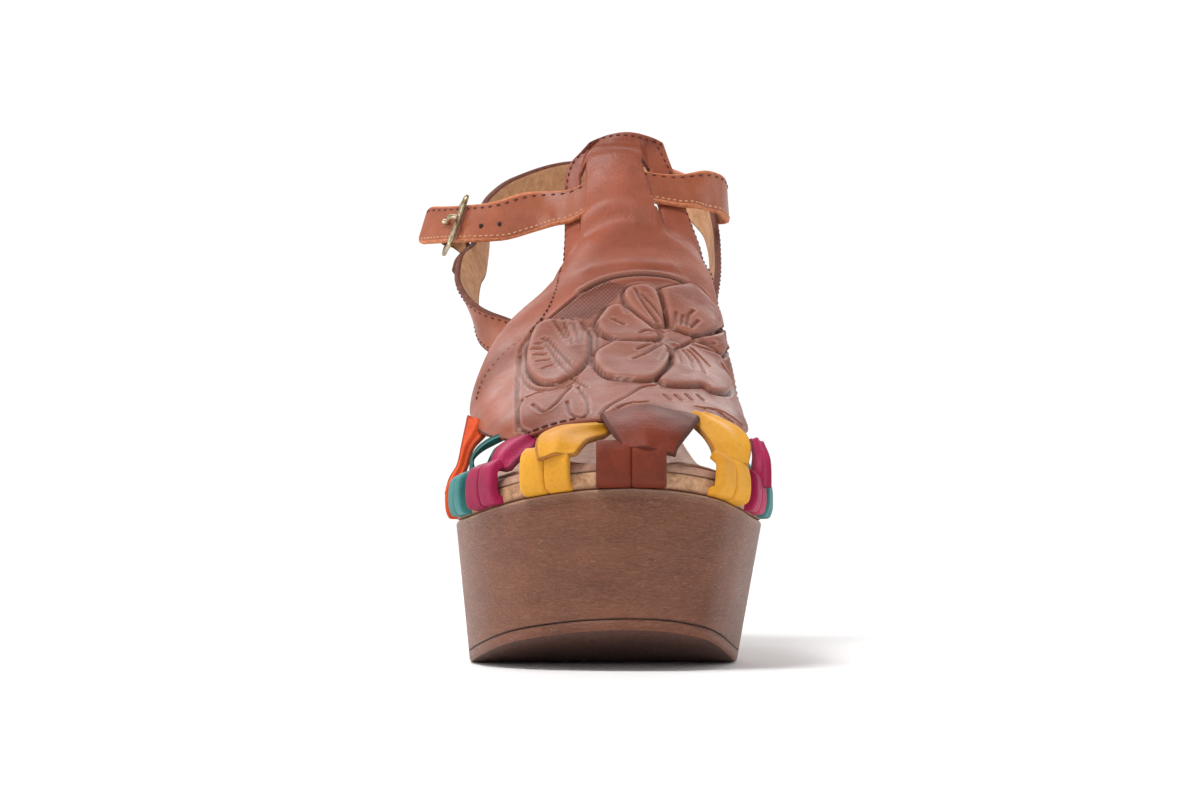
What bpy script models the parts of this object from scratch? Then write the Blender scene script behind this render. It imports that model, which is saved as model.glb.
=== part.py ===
"""Platform sandal with a wooden sole, for the right foot.

Tooled leather vamp with a tall tongue, coloured lacing strips round a leather insole, a heel
harness and a buckled ankle strap. Metres, +Z up. The toe points to -Y and +X is the inner side
of the foot. The origin is on the floor, under the ball of the foot.
"""

import math

import bmesh
import bpy
from mathutils import Vector

MM = 0.001

# Sole sizes
SOLE_LENGTH = 232 * MM
BALL_WIDTH = 93.5 * MM
BALL_SHARE = 0.302
PLATFORM = 39.2 * MM
TOE_SPRING = 12 * MM
TOE_RISE = 10.5 * MM
HEEL_RISE = 42.5 * MM
ARCH_RISE = 36 * MM
BREAST_TOP = 0.725
BREAST_FOOT = 0.752
TOE_LEAN = 4.5 * MM
HEEL_LEAN = 6 * MM
RIM_ROUND = 1.2 * MM
OUTSOLE = 3 * MM
OUTSOLE_END = 0.43
LIFT = 5 * MM

# Insole sizes
BOARD = 8.4 * MM
SOCK = 1.3 * MM
EDGE_INSET = 0.6 * MM
EDGE_ROUND = 3.4 * MM
CUP_DEPTH = 1.6 * MM

# Upper sizes
UPPER_HEIGHT = 129 * MM
VAMP_WALL = 2.3 * MM
SLIT_ROWS = (9.35, 11.35)
STRAP_WIDTH = 13.6 * MM
STRAP_THICK = 1.9 * MM
STRAP_PLAY = 0.5 * MM
FLAP_ROWS = (9.20, 12.20)
TONGUE_ROW = 8.5
TONGUE_CALM = 0.3
HARNESS_WIDTH = 13 * MM
HARNESS_THICK = 2.1 * MM

# Lacing strips
PAIR_WIDTH = 15 * MM
TOE_PAIR_WIDTH = 20 * MM
LACE_THICK = 3 * MM
LACE_PLY = 1.7 * MM
LACE_NECK = 0.72
GROOVE = 0.8 * MM
TUCK = 8 * MM

# Buckle sizes
BUCKLE_HEIGHT = 20.4 * MM
BUCKLE_LENGTH = 13 * MM
BUCKLE_WIRE = 2.2 * MM
PRONG_WIRE = 1.8 * MM
TAB_WIDTH = 11 * MM
TAB_THICK = 1.4 * MM

# Clearance between pieces that touch
GAP = 0.3 * MM

GROUND_SKIN = OUTSOLE + GAP
BALL_TOP = GROUND_SKIN + PLATFORM
HALF_BALL = BALL_WIDTH / 2
INSOLE = BOARD + GAP + SOCK

# Outline of the sole at its top edge, from the toe to the heel. Widths are shares of half the
# ball width, and the two drafts are how far the side leans inwards for each length of height.
OUTLINE_COLUMNS = ("share", "lateral", "medial", "lateral_draft", "medial_draft")
OUTLINE = (
    (0.0, 0.13, 0.13, 0.06, 0.10),
    (0.03, -0.49, 0.64, 0.08, 0.14),
    (0.08, -0.75, 0.81, 0.10, 0.17),
    (0.16, -0.92, 0.92, 0.10, 0.18),
    (0.25, -0.995, 0.98, 0.10, 0.18),
    (0.32, -1.0, 0.985, 0.10, 0.18),
    (0.42, -0.96, 0.835, 0.09, 0.14),
    (0.52, -0.875, 0.65, 0.07, 0.08),
    (0.62, -0.77, 0.535, 0.05, 0.04),
    (0.69, -0.71, 0.49, 0.04, 0.03),
    (0.80, -0.685, 0.52, 0.03, 0.03),
    (0.90, -0.63, 0.53, 0.03, 0.03),
    (0.96, -0.45, 0.38, 0.02, 0.02),
    (1.0, -0.05, -0.05, 0.02, 0.02),
)

# Side view of the wood: top by shares of toe rise and heel rise, underside by shares of toe
# spring and arch rise.
PROFILE_COLUMNS = ("share", "toe_rise", "heel_rise", "toe_spring", "arch_rise")
PROFILE = (
    (0.0, 1.0, 0.0, 1.0, 0.0),
    (0.035, 0.70, 0.0, 0.80, 0.0),
    (0.065, 0.50, 0.0, 0.66, 0.0),
    (0.13, 0.22, 0.0, 0.36, 0.0),
    (0.215, 0.05, 0.0, 0.08, 0.0),
    (0.27, 0.0, 0.0, 0.0, 0.0),
    (0.32, 0.0, 0.0, 0.0, 0.0),
    (0.40, 0.0, 0.07, 0.0, 0.0),
    (0.50, 0.0, 0.18, 0.0, 0.22),
    (0.60, 0.0, 0.365, 0.0, 0.68),
    (0.69, 0.0, 0.555, 0.0, 0.95),
    (0.76, 0.0, 0.70, 0.0, 1.0),
    (0.82, 0.0, 0.82, 0.0, 1.0),
    (0.905, 0.0, 0.945, 0.0, 1.0),
    (1.0, 0.0, 1.0, 0.0, 1.0),
)

# Vamp and tongue, a row for each arch from the front edge to the top of the tongue. Across, the
# unit is half the ball width; along, the sole length from the toe tip; up, the upper height
# above the wood at the ball. Ridge is the middle of the arch, and shoulder and wall say how
# full its curve is.
VAMP_COLUMNS = (
    "ridge_x", "ridge_y", "ridge_z", "lateral_x", "lateral_y", "lateral_z",
    "medial_x", "medial_y", "medial_z", "shoulder", "wall",
)
VAMP = (
    (0.14, 0.103, 0.240, -0.56, 0.145, 0.182, 0.72, 0.135, 0.212, 0.62, 0.25),
    (0.12, 0.160, 0.282, -0.74, 0.195, 0.192, 0.84, 0.190, 0.205, 0.62, 0.40),
    (0.11, 0.235, 0.338, -0.84, 0.262, 0.205, 0.895, 0.262, 0.208, 0.62, 0.50),
    (0.10, 0.315, 0.402, -0.905, 0.325, 0.232, 0.89, 0.325, 0.225, 0.60, 0.52),
    (0.10, 0.385, 0.466, -0.935, 0.378, 0.268, 0.86, 0.378, 0.262, 0.58, 0.52),
    (0.10, 0.445, 0.532, -0.865, 0.425, 0.352, 0.82, 0.425, 0.355, 0.56, 0.48),
    (0.10, 0.498, 0.598, -0.765, 0.468, 0.428, 0.775, 0.468, 0.430, 0.54, 0.42),
    (0.10, 0.546, 0.662, -0.590, 0.515, 0.472, 0.755, 0.515, 0.495, 0.52, 0.36),
    (0.09, 0.586, 0.720, -0.445, 0.565, 0.538, 0.725, 0.560, 0.568, 0.50, 0.32),
    (0.07, 0.620, 0.777, -0.372, 0.606, 0.628, 0.690, 0.604, 0.646, 0.48, 0.30),
    (0.05, 0.650, 0.838, -0.345, 0.641, 0.723, 0.620, 0.640, 0.730, 0.46, 0.28),
    (0.04, 0.676, 0.900, -0.343, 0.671, 0.816, 0.530, 0.671, 0.824, 0.44, 0.26),
    (0.07, 0.694, 0.958, -0.315, 0.693, 0.910, 0.450, 0.693, 0.912, 0.42, 0.24),
    (0.12, 0.703, 0.998, -0.150, 0.703, 0.968, 0.380, 0.703, 0.968, 0.42, 0.22),
)

# Columns of the vamp's mesh, as shares of each half. The two slits lie between the pairs.
LATERAL_SLIT = (0.39, 0.52)
MEDIAL_SLIT = (0.28, 0.39)
LATERAL_COLUMNS = (1.0, 0.92, 0.80, 0.66, 0.52, 0.39, 0.20)
MEDIAL_COLUMNS = (0.14, 0.28, 0.39, 0.52, 0.66, 0.80, 0.92, 1.0)
VAMP_ROWS = 30

# Heel harness behind the ankle, between its two laps inside the vamp's corners, in the same
# shares as the vamp. Lean tilts the strap's upper edge outwards, in degrees.
HARNESS_COLUMNS = ("x", "y", "z", "lean")
HARNESS = (
    (-0.610, 0.512, 0.432, -36),
    (-0.750, 0.546, 0.455, -14),
    (-0.888, 0.575, 0.484, 14),
    (-0.969, 0.612, 0.531, 34),
    (-1.010, 0.655, 0.588, 42),
    (-0.995, 0.694, 0.638, 34),
    (-0.945, 0.740, 0.670, 12),
    (-0.918, 0.780, 0.726, 4),
    (-0.900, 0.815, 0.786, -2),
    (-0.820, 0.853, 0.825, -6),
    (-0.690, 0.893, 0.860, -8),
    (-0.380, 0.945, 0.905, -10),
    (-0.060, 0.962, 0.915, -10),
    (0.250, 0.945, 0.902, -10),
    (0.520, 0.880, 0.858, -8),
    (0.695, 0.815, 0.791, -3),
    (0.738, 0.763, 0.733, 2),
    (0.749, 0.724, 0.674, 6),
    (0.744, 0.681, 0.612, 10),
    (0.734, 0.634, 0.550, 5),
    (0.718, 0.586, 0.496, -8),
    (0.690, 0.539, 0.456, -22),
    (0.650, 0.497, 0.436, -36),
)
HARNESS_LAP = ((4.95, 0.76), (5.45, 0.78))
HARNESS_LAP_WAY = (-0.35, 0.40)
HARNESS_STEPS = 2

# Ankle strap: rows of the vamp that it follows behind the tongue's band, then its way to the
# tip past the buckle on the lateral side, and to its lap on the harness on the medial side.
TONGUE_STRAP_COLUMNS = ("place", "row")
TONGUE_STRAP = ((-1.0, 10.80), (-0.45, 10.22), (0.0, 10.17), (0.32, 10.45), (1.0, 11.25))
STRAP_COLUMNS = ("x", "y", "z", "lean")
STRAP_LATERAL = (
    (-1.310, 0.790, 0.765, -22),
    (-1.225, 0.767, 0.763, -25),
    (-1.120, 0.743, 0.762, -26),
    (-0.990, 0.714, 0.760, -22),
    (-0.790, 0.693, 0.764, -6),
    (-0.560, 0.680, 0.785, 0),
)
STRAP_MEDIAL = (
    (0.680, 0.694, 0.842, -4),
    (0.785, 0.712, 0.834, -4),
    (0.830, 0.750, 0.818, -4),
)
STRAP_LEAVES = 0.52
BUCKLE_STATION = 2
STRAP_LAP = (0.63, 0.61, 0.59)
TAB_LAP = (0.25, 0.27, 0.288, 0.308)
ANKLE_MIDDLE = (-0.10, 0.80, 0.80)

# Lacing strips: where each leaves the sole's edge, and where its upper end lies on the vamp,
# by rows of the vamp table and share of the half, with the way that it runs on inside.
LACE_COLUMNS = ("name", "share", "side", "row", "across", "row_step", "across_step")
LACES = (
    ("lace_toe_brown", 0.0, 0, 0.0, 0.06, 0.40, 0.0),
    ("lace_lateral_yellow", 0.020, -1, 0.0, -0.50, 0.40, 0.0),
    ("lace_lateral_magenta", 0.085, -1, 0.50, -1.0, 0.0, 0.14),
    ("lace_lateral_teal", 0.165, -1, 1.50, -1.0, 0.0, 0.13),
    ("lace_lateral_orange", 0.268, -1, 2.80, -1.0, 0.0, 0.12),
    ("lace_medial_yellow", 0.048, 1, 0.0, 0.60, 0.40, 0.0),
    ("lace_medial_magenta", 0.132, 1, 0.88, 1.0, 0.0, -0.14),
    ("lace_medial_teal", 0.215, 1, 1.80, 1.0, 0.0, -0.13),
    ("lace_medial_orange", 0.305, 1, 3.00, 1.0, 0.0, -0.12),
)

# Way of a lacing strip round the insole, in shares of the insole's height and of the strip's
# own width and thickness.
WRAP_COLUMNS = ("out", "up", "width", "thickness")
WRAP = (
    (-1.0, 0.0, 0.96, 0.0),
    (-0.5, 0.0, 0.98, 0.0),
    (-0.02, 0.06, 1.0, 0.5),
    (0.05, 0.28, 1.0, 1.0),
    (0.06, 0.58, 1.0, 1.0),
    (0.0, 0.92, 1.0, 0.9),
)

COLOURS = {
    "wood": (0.145, 0.070, 0.045, 0.45),
    "rubber": (0.050, 0.028, 0.020, 0.70),
    "footbed": (0.38, 0.21, 0.13, 0.60),
    "vamp": (0.36, 0.15, 0.10, 0.45),
    "strap": (0.33, 0.13, 0.08, 0.45),
    "brown": (0.16, 0.035, 0.018, 0.45),
    "yellow": (0.80, 0.42, 0.07, 0.40),
    "magenta": (0.46, 0.02, 0.11, 0.40),
    "teal": (0.07, 0.25, 0.25, 0.40),
    "orange": (0.75, 0.13, 0.04, 0.40),
    "metal": (0.40, 0.31, 0.18, 0.35),
}


def column(table, columns, name):
    index = columns.index(name)
    return [row[index] for row in table]


def curve_value(knots, values, place):
    """Cubic through the values that never overshoots them."""
    place = min(max(place, knots[0]), knots[-1])
    last = len(knots) - 1
    cell = max(i for i in range(last) if knots[i] <= place)
    width = knots[cell + 1] - knots[cell]

    def secant(i):
        return (values[i + 1] - values[i]) / (knots[i + 1] - knots[i])

    def slope(i):
        if i in (0, last):
            return secant(min(i, last - 1))
        before, after = secant(i - 1), secant(i)
        if before * after <= 0:
            return 0.0
        mean = (values[i + 1] - values[i - 1]) / (knots[i + 1] - knots[i - 1])
        return math.copysign(min(abs(mean), 3 * abs(before), 3 * abs(after)), mean)

    t = (place - knots[cell]) / width
    rise = values[cell + 1] - values[cell]
    start, end = slope(cell) * width, slope(cell + 1) * width
    return values[cell] + t * (start + t * (3 * rise - 2 * start - end + t * (start + end - 2 * rise)))


def end_bunched(share):
    """Turns a share of the length into a measure in which round ends are straight."""
    return math.acos(1 - 2 * min(max(share, 0.0), 1.0)) / math.pi


OUTLINE_KNOTS = [end_bunched(share) for share in column(OUTLINE, OUTLINE_COLUMNS, "share")]


def outline(name, share):
    return curve_value(OUTLINE_KNOTS, column(OUTLINE, OUTLINE_COLUMNS, name), end_bunched(share))


def profile(name, share):
    knots = column(PROFILE, PROFILE_COLUMNS, "share")
    return curve_value(knots, column(PROFILE, PROFILE_COLUMNS, name), share)


def length_place(share):
    """Y of a share of the sole length, with the ball at zero."""
    return (share - BALL_SHARE) * SOLE_LENGTH


def wood_top(share):
    return BALL_TOP + profile("toe_rise", share) * TOE_RISE + profile("heel_rise", share) * HEEL_RISE


def wood_under(share):
    """Underside of the wood: sprung toe, flat tread, arch, heel breast and flat heel seat."""
    heel_seat = LIFT + GAP
    if share >= BREAST_FOOT:
        return heel_seat
    arch = GROUND_SKIN + profile("toe_spring", share) * TOE_SPRING + profile("arch_rise", share) * ARCH_RISE
    if share <= BREAST_TOP:
        return arch
    down = (share - BREAST_TOP) / (BREAST_FOOT - BREAST_TOP)
    return arch + down * (heel_seat - arch)


def side_point(share, side, surface, rise=0.0, inset=0.0):
    """Point of the sole's side, -1 lateral and 1 medial, where it meets a surface of the sole.

    The surface is a function from the share of the length to a height. Inset moves the point
    inwards, which near the two round ends also means along the sole.
    """
    name = "lateral" if side < 0 else "medial"
    other = "medial" if side < 0 else "lateral"
    toe = max(0.0, 1 - share / BALL_SHARE) ** 2
    heel = max(0.0, (share - BREAST_FOOT) / (1 - BREAST_FOOT)) ** 2
    shift = inset * (toe - heel)
    height = surface(share + shift / SOLE_LENGTH) + rise
    depth = max(wood_top(share) - height, 0.0)
    edge = outline(name, share) * HALF_BALL
    middle = (edge + outline(other, share) * HALF_BALL) / 2
    reach = abs(edge - middle)
    room = max(reach - outline(name + "_draft", share) * depth - inset, 0.3 * reach)
    full = BALL_TOP if share < BALL_SHARE else BALL_TOP + HEEL_RISE
    lean = (TOE_LEAN * toe - HEEL_LEAN * heel) * depth / full
    return Vector((middle + side * room, length_place(share) + lean + shift, height))


def stations(first, last, count, extra=()):
    """Shares of the length, closer together near the two round ends."""
    low, high = end_bunched(first), end_bunched(last)
    places = [low + (high - low) * i / (count - 1) for i in range(count)]
    shares = [0.5 - 0.5 * math.cos(math.pi * place) for place in places]
    kept = [s for s in shares if all(abs(s - e) > 0.008 for e in extra)]
    return sorted(kept + list(extra))


def across(left, right, count, dip=0.0):
    """Points from one side to the other, the middle lower by dip."""
    points = []
    for i in range(count):
        t = i / (count - 1)
        point = left.lerp(right, t)
        point.z -= dip * 4 * t * (1 - t)
        points.append(point)
    return points


def make_object(name, mesh_maker, colour, smooth_angle=40):
    """Object with its own material from a bmesh with faces pointing out."""
    bmesh.ops.recalc_face_normals(mesh_maker, faces=mesh_maker.faces)
    mesh = bpy.data.meshes.new(name)
    mesh_maker.to_mesh(mesh)
    mesh_maker.free()
    mesh.shade_smooth()
    mesh.set_sharp_from_angle(angle=math.radians(smooth_angle))
    red, green, blue, roughness = COLOURS[colour]
    material = bpy.data.materials.new(name + "_" + colour)
    material.use_nodes = True
    shader = material.node_tree.nodes["Principled BSDF"]
    shader.inputs["Base Color"].default_value = (red, green, blue, 1)
    shader.inputs["Roughness"].default_value = roughness
    shader.inputs["Metallic"].default_value = 1.0 if colour == "metal" else 0.0
    mesh.materials.append(material)
    solid = bpy.data.objects.new(name, mesh)
    bpy.context.scene.collection.objects.link(solid)
    return solid


def loft(rings):
    """Closed skin through closed rings of equal count, with a flat face on each end."""
    work = bmesh.new()
    rows = [[work.verts.new(point) for point in ring] for ring in rings]
    count = len(rings[0])
    for low, high in zip(rows, rows[1:]):
        for i in range(count):
            j = (i + 1) % count
            work.faces.new((low[i], low[j], high[j], high[i]))
    work.faces.new(rows[0])
    work.faces.new(rows[-1])
    return work


def sole_rings(shares, top, under, rim=0.0, foot_rim=0.0, count=5):
    """Cross-sections of a layer of the sole, between its top and its underside."""
    rings = []
    for share in shares:
        ring = across(side_point(share, -1, top, inset=rim), side_point(share, 1, top, inset=rim), count)
        if rim:
            ring.append(side_point(share, 1, top, -rim))
        if foot_rim:
            ring.append(side_point(share, 1, under, foot_rim))
        foot_right = side_point(share, 1, under, inset=foot_rim)
        foot_left = side_point(share, -1, under, inset=foot_rim)
        ring.extend(across(foot_right, foot_left, 3))
        if foot_rim:
            ring.append(side_point(share, -1, under, foot_rim))
        if rim:
            ring.append(side_point(share, -1, top, -rim))
        rings.append(ring)
    return rings


FIRST_SHARE = 0.0012
LAST_SHARE = 1 - FIRST_SHARE


def make_wood():
    shares = stations(FIRST_SHARE, LAST_SHARE, 40, (BREAST_TOP, BREAST_FOOT))
    rings = sole_rings(shares, wood_top, wood_under, rim=RIM_ROUND)
    return make_object("wood_sole", loft(rings), "wood")


def make_outsole():
    def top(share):
        return wood_under(share) - GAP

    def under(share):
        return wood_under(share) - GAP - OUTSOLE

    shares = stations(FIRST_SHARE, OUTSOLE_END, 24)
    rings = sole_rings(shares, top, under, foot_rim=OUTSOLE / 3)
    return make_object("outsole", loft(rings), "rubber")


def make_lift():
    shares = stations(BREAST_FOOT, LAST_SHARE, 16)
    rings = sole_rings(shares, lambda share: LIFT, lambda share: 0.0, foot_rim=LIFT / 5)
    return make_object("heel_top_lift", loft(rings), "rubber")


def board_top(share):
    return wood_top(share) + GAP + BOARD


def make_board(cutters):
    """Insole board with its wrapped edge, notched below for the ends of the lacing strips."""
    rings = []
    for share in stations(FIRST_SHARE * 2, 1 - FIRST_SHARE * 2, 34):
        ring = []
        for side in (-1, 1):
            edge = [
                side_point(share, side, wood_top, GAP, EDGE_INSET),
                side_point(share, side, board_top, -EDGE_ROUND, EDGE_INSET),
                side_point(share, side, board_top, -0.3 * EDGE_ROUND, EDGE_INSET + 0.3 * EDGE_ROUND),
                side_point(share, side, board_top, 0.0, EDGE_INSET + EDGE_ROUND),
            ]
            if side > 0:
                left, right = ring[-1], edge[-1]
                ring.extend(across(left, right, 5, cup_dip(left, right))[1:-1])
                edge.reverse()
            ring.extend(edge)
        ring.append((ring[0] + ring[-1]) / 2)
        rings.append(ring)
    board = make_object("insole_board", loft(rings), "footbed")
    for index, cutter in enumerate(cutters):
        cut = board.modifiers.new("strip notch %d" % index, "BOOLEAN")
        cut.operation = "DIFFERENCE"
        cut.solver = "EXACT"
        cut.object = cutter
    return board


def cup_dip(left, right):
    """Depth of the cupped bed, less where the sole is narrow."""
    return CUP_DEPTH * min(1.0, (right - left).length / HALF_BALL)


def make_sock():
    """Thin leather sheet on the cupped top of the board."""
    margin = EDGE_INSET + EDGE_ROUND
    rings = []
    for share in stations(FIRST_SHARE * 14, 1 - FIRST_SHARE * 12, 28):
        ring = []
        for rise, turn in ((GAP + SOCK, 1), (GAP, -1)):
            left = side_point(share, -1, board_top, rise, margin)
            right = side_point(share, 1, board_top, rise, margin)
            ring.extend(across(left, right, 5, cup_dip(left, right))[::turn])
        rings.append(ring)
    return make_object("insole_sock", loft(rings), "footbed")


VAMP_KNOTS = list(range(len(VAMP)))


def upper_point(x_share, y_share, z_share):
    return Vector((x_share * HALF_BALL, length_place(y_share), BALL_TOP + z_share * UPPER_HEIGHT))


def vamp_row(row):
    """Ridge and two edges of the arch at a row of the table, with the fullness of its curve."""
    get = [curve_value(VAMP_KNOTS, column(VAMP, VAMP_COLUMNS, name), row) for name in VAMP_COLUMNS]
    return upper_point(*get[0:3]), upper_point(*get[3:6]), upper_point(*get[6:9]), get[9], get[10]


def vamp_base(row, place):
    """Outer face of the vamp, place from -1 at the lateral edge to 1 at the medial edge."""
    ridge, lateral, medial, shoulder, wall = vamp_row(row)
    edge = lateral if place < 0 else medial
    t = abs(place)
    near_ridge = ridge + Vector((shoulder * (edge.x - ridge.x), 0, 0))
    near_edge = edge + Vector((0, 0, wall * (ridge.z - edge.z)))
    u = 1 - t
    return ridge * u ** 3 + near_ridge * 3 * u * u * t + near_edge * 3 * u * t * t + edge * t ** 3


def vamp_normal(row, place):
    """Way out of the vamp. On the tongue it keeps its turn short of the edges."""
    step = 0.01
    row = min(max(row, step), len(VAMP) - 1 - step)
    limit = 1 - step - TONGUE_CALM * min(max(row - TONGUE_ROW, 0.0), 1.0)
    place = min(max(place, -limit), limit)
    along = vamp_base(row + step, place) - vamp_base(row - step, place)
    over = vamp_base(row, place + step) - vamp_base(row, place - step)
    return over.cross(along).normalized()


LAST_ROW = len(VAMP) - 1
STRAP_SINK = STRAP_THICK / 3
BAND_LIFT = STRAP_THICK / 2 + STRAP_PLAY + VAMP_WALL - STRAP_SINK
FLAP_SINK = STRAP_THICK / 2 + STRAP_PLAY + STRAP_SINK


def row_bell(row, rows):
    """One between two rows, and fading out a little above and below them."""
    reach = 0.9
    outside = max(rows[0] - row, row - rows[1], 0.0)
    return max(0.0, 1 - (outside / reach) ** 2) ** 2 if outside < reach else 0.0


def band_share(place):
    """One on the band between the slits, zero on the flaps beside it, changing within the slits."""
    if place < 0:
        return min(max((LATERAL_SLIT[1] + place) / (LATERAL_SLIT[1] - LATERAL_SLIT[0]), 0.0), 1.0)
    return min(max((MEDIAL_SLIT[1] - place) / (MEDIAL_SLIT[1] - MEDIAL_SLIT[0]), 0.0), 1.0)


def vamp_outer(row, place, depth=0.0):
    """Outer face with the band in front of the strap and the flaps behind it, less a depth."""
    band = band_share(place)
    shift = band * BAND_LIFT * row_bell(row, SLIT_ROWS) - (1 - band) * FLAP_SINK * row_bell(row, FLAP_ROWS)
    return vamp_base(row, place) + vamp_normal(row, place) * (shift - depth)


def make_vamp():
    """Vamp and tongue, one open wall with two slits for the ankle strap."""
    places = [-share for share in LATERAL_COLUMNS] + [0.0] + list(MEDIAL_COLUMNS)
    rows = [LAST_ROW * i / (VAMP_ROWS - 1) for i in range(VAMP_ROWS)]
    rows = [row for row in rows if all(abs(row - end) > 0.2 for end in SLIT_ROWS)]
    rows = sorted(rows + list(SLIT_ROWS))
    slit_cells = {places.index(-LATERAL_SLIT[1]), places.index(MEDIAL_SLIT[0])}
    work = bmesh.new()
    skins = []
    for depth in (0.0, VAMP_WALL):
        skins.append([[work.verts.new(vamp_outer(row, place, depth)) for place in places] for row in rows])

    def open_cell(i, j):
        if not (0 <= i < len(rows) - 1 and 0 <= j < len(places) - 1):
            return True
        middle = (rows[i] + rows[i + 1]) / 2
        return j in slit_cells and SLIT_ROWS[0] < middle < SLIT_ROWS[1]

    for i in range(len(rows) - 1):
        for j in range(len(places) - 1):
            if open_cell(i, j):
                continue
            corners = ((i, j), (i, j + 1), (i + 1, j + 1), (i + 1, j))
            for skin in skins:
                work.faces.new([skin[a][b] for a, b in corners])
            neighbours = ((i - 1, j), (i, j + 1), (i + 1, j), (i, j - 1))
            for k, cell in enumerate(neighbours):
                if open_cell(*cell):
                    a, b = corners[k], corners[(k + 1) % 4]
                    outer, inner = skins
                    work.faces.new((outer[a[0]][a[1]], outer[b[0]][b[1]], inner[b[0]][b[1]], inner[a[0]][a[1]]))
    return make_object("vamp", work, "vamp", 50)


def strap_section(width, thick, groove=0.0):
    """Strap's cross-section as distances across and outwards, with a groove down the outer face."""
    half, face = width / 2, thick / 2
    nip = min(0.3 * thick, 0.2 * half)
    section = [(-half, nip - face), (nip - half, -face), (0.0, -face), (half - nip, -face)]
    section += [(half, nip - face), (half, face - nip), (half - nip, face)]
    if groove:
        section += [(nip, face), (0.0, face - groove), (-nip, face)]
    else:
        section.append((0.0, face))
    return section + [(nip - half, face), (-half, face - nip)]


LOW_EDGE, HIGH_EDGE = 0, 4


def free_ring(middle, run, wide, section, outwards):
    """Section placed in space, square to its run, its outer face towards outwards."""
    run = run.normalized()
    wide = (wide - run * wide.dot(run)).normalized()
    out = run.cross(wide)
    if out.dot(outwards) < 0:
        out = -out
    return [middle + wide * a + out * b for a, b in section]


def vamp_ring(row, place, row_way, place_way, depth, section, surface):
    """Section bent to the vamp: its middle lies at a depth below the surface there."""
    step = 0.02
    low = surface(row - row_way * step, place - place_way * step, depth)
    high = surface(row + row_way * step, place + place_way * step, depth)
    unit = 2 * step / (high - low).length
    return [surface(row + row_way * a * unit, place + place_way * a * unit, depth - b) for a, b in section]


def smooth_rings(rings, steps):
    """More rings on smooth curves through the matching points of the given ones."""
    middles = [sum(ring, Vector()) / len(ring) for ring in rings]
    knots = [0.0]
    for a, b in zip(middles, middles[1:]):
        knots.append(knots[-1] + (b - a).length)
    places = [knots[0]]
    for low, high in zip(knots, knots[1:]):
        places += [low + (high - low) * k / steps for k in range(1, steps + 1)]
    result = []
    for place in places:
        ring = []
        for k in range(len(rings[0])):
            values = [[ring_points[k][axis] for ring_points in rings] for axis in range(3)]
            ring.append(Vector([curve_value(knots, line, place) for line in values]))
        result.append(ring)
    return result


def leaning(point, lean):
    """Width way of a strap round the ankle, and its way outwards."""
    middle = upper_point(*ANKLE_MIDDLE)
    away = Vector((point.x - middle.x, point.y - middle.y, 0)).normalized()
    angle = math.radians(lean)
    return Vector((0, 0, 1)) * math.cos(angle) + away * math.sin(angle), away


def strap_rings(rows, width, thick, runs):
    """Rings of a strap round the ankle at the rows of its table."""
    rings = []
    points = [upper_point(*row[:3]) for row in rows]
    for i, (row, point) in enumerate(zip(rows, points)):
        before = points[i - 1] if i else point - runs[0]
        after = points[i + 1] if i + 1 < len(points) else point + runs[1]
        wide, away = leaning(point, row[3])
        rings.append(free_ring(point, after - before, wide, strap_section(width, thick), away))
    return rings


def vamp_below(row, place, depth):
    return vamp_base(row, place) - vamp_normal(row, place) * depth


def strap_base(row, place, depth):
    """Vamp's outer face less a depth, running on straight beyond the flaps' inner parts."""
    if abs(place) <= STRAP_LEAVES:
        return vamp_below(row, place, depth)
    edge = math.copysign(STRAP_LEAVES, place)
    step = 0.02 * edge
    on = vamp_below(row, edge, depth)
    return on + (on - vamp_below(row, edge - step, depth)) * ((place - edge) / step)


def harness_lap(side):
    """Rings of the harness inside the vamp's corner, from its end outwards."""
    rings = []
    for row, place in HARNESS_LAP:
        depth = VAMP_WALL + 2 * GAP + HARNESS_THICK / 2
        section = strap_section(HARNESS_WIDTH, HARNESS_THICK)
        row_way, place_way = HARNESS_LAP_WAY
        rings.append(vamp_ring(row, side * place, row_way, -side * place_way, depth, section, vamp_below))
    return rings


def harness_rings():
    first = upper_point(*HARNESS[1][:3]) - upper_point(*HARNESS[0][:3])
    last = upper_point(*HARNESS[-1][:3]) - upper_point(*HARNESS[-2][:3])
    free = strap_rings(HARNESS, HARNESS_WIDTH, HARNESS_THICK, (first, last))
    return harness_lap(-1) + free + harness_lap(1)[::-1]


def make_harness():
    """Quarter straps and the band behind the ankle, one strap from corner to corner."""
    return make_object("heel_harness", loft(smooth_rings(harness_rings(), HARNESS_STEPS)), "strap", 50)


def harness_outside(share, stand, section):
    """Ring lying on the outer face of the harness at a share of its rings, a height above it."""
    rings = smooth_rings(harness_rings(), HARNESS_STEPS)
    index = round(share * (len(rings) - 1))
    middle = sum(rings[index], Vector()) / len(rings[index])
    before = sum(rings[index - 1], Vector()) / len(rings[index])
    after = sum(rings[index + 1], Vector()) / len(rings[index])
    wide = rings[index][HIGH_EDGE] - rings[index][LOW_EDGE]
    away = leaning(middle, 0)[1]
    run = (before - after).normalized()
    wide = (wide - run * wide.dot(run)).normalized()
    out = run.cross(wide)
    if out.dot(away) < 0:
        out = -out
    return [middle + wide * a + out * (b + stand) for a, b in section]


def tongue_rings(section):
    """Rings of the ankle strap across the tongue, behind its band and in front of its flaps."""
    places = column(TONGUE_STRAP, TONGUE_STRAP_COLUMNS, "place")
    rows = column(TONGUE_STRAP, TONGUE_STRAP_COLUMNS, "row")
    rings = []
    for place in (-0.9, -0.7, -0.52, -0.39, -0.2, 0.0, 0.14, 0.28, 0.39, 0.5, 0.65, 0.85):
        row = curve_value(places, rows, place)
        rings.append(vamp_ring(row, place, 1.0, 0.0, STRAP_SINK, section, strap_base))
    return rings


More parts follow.
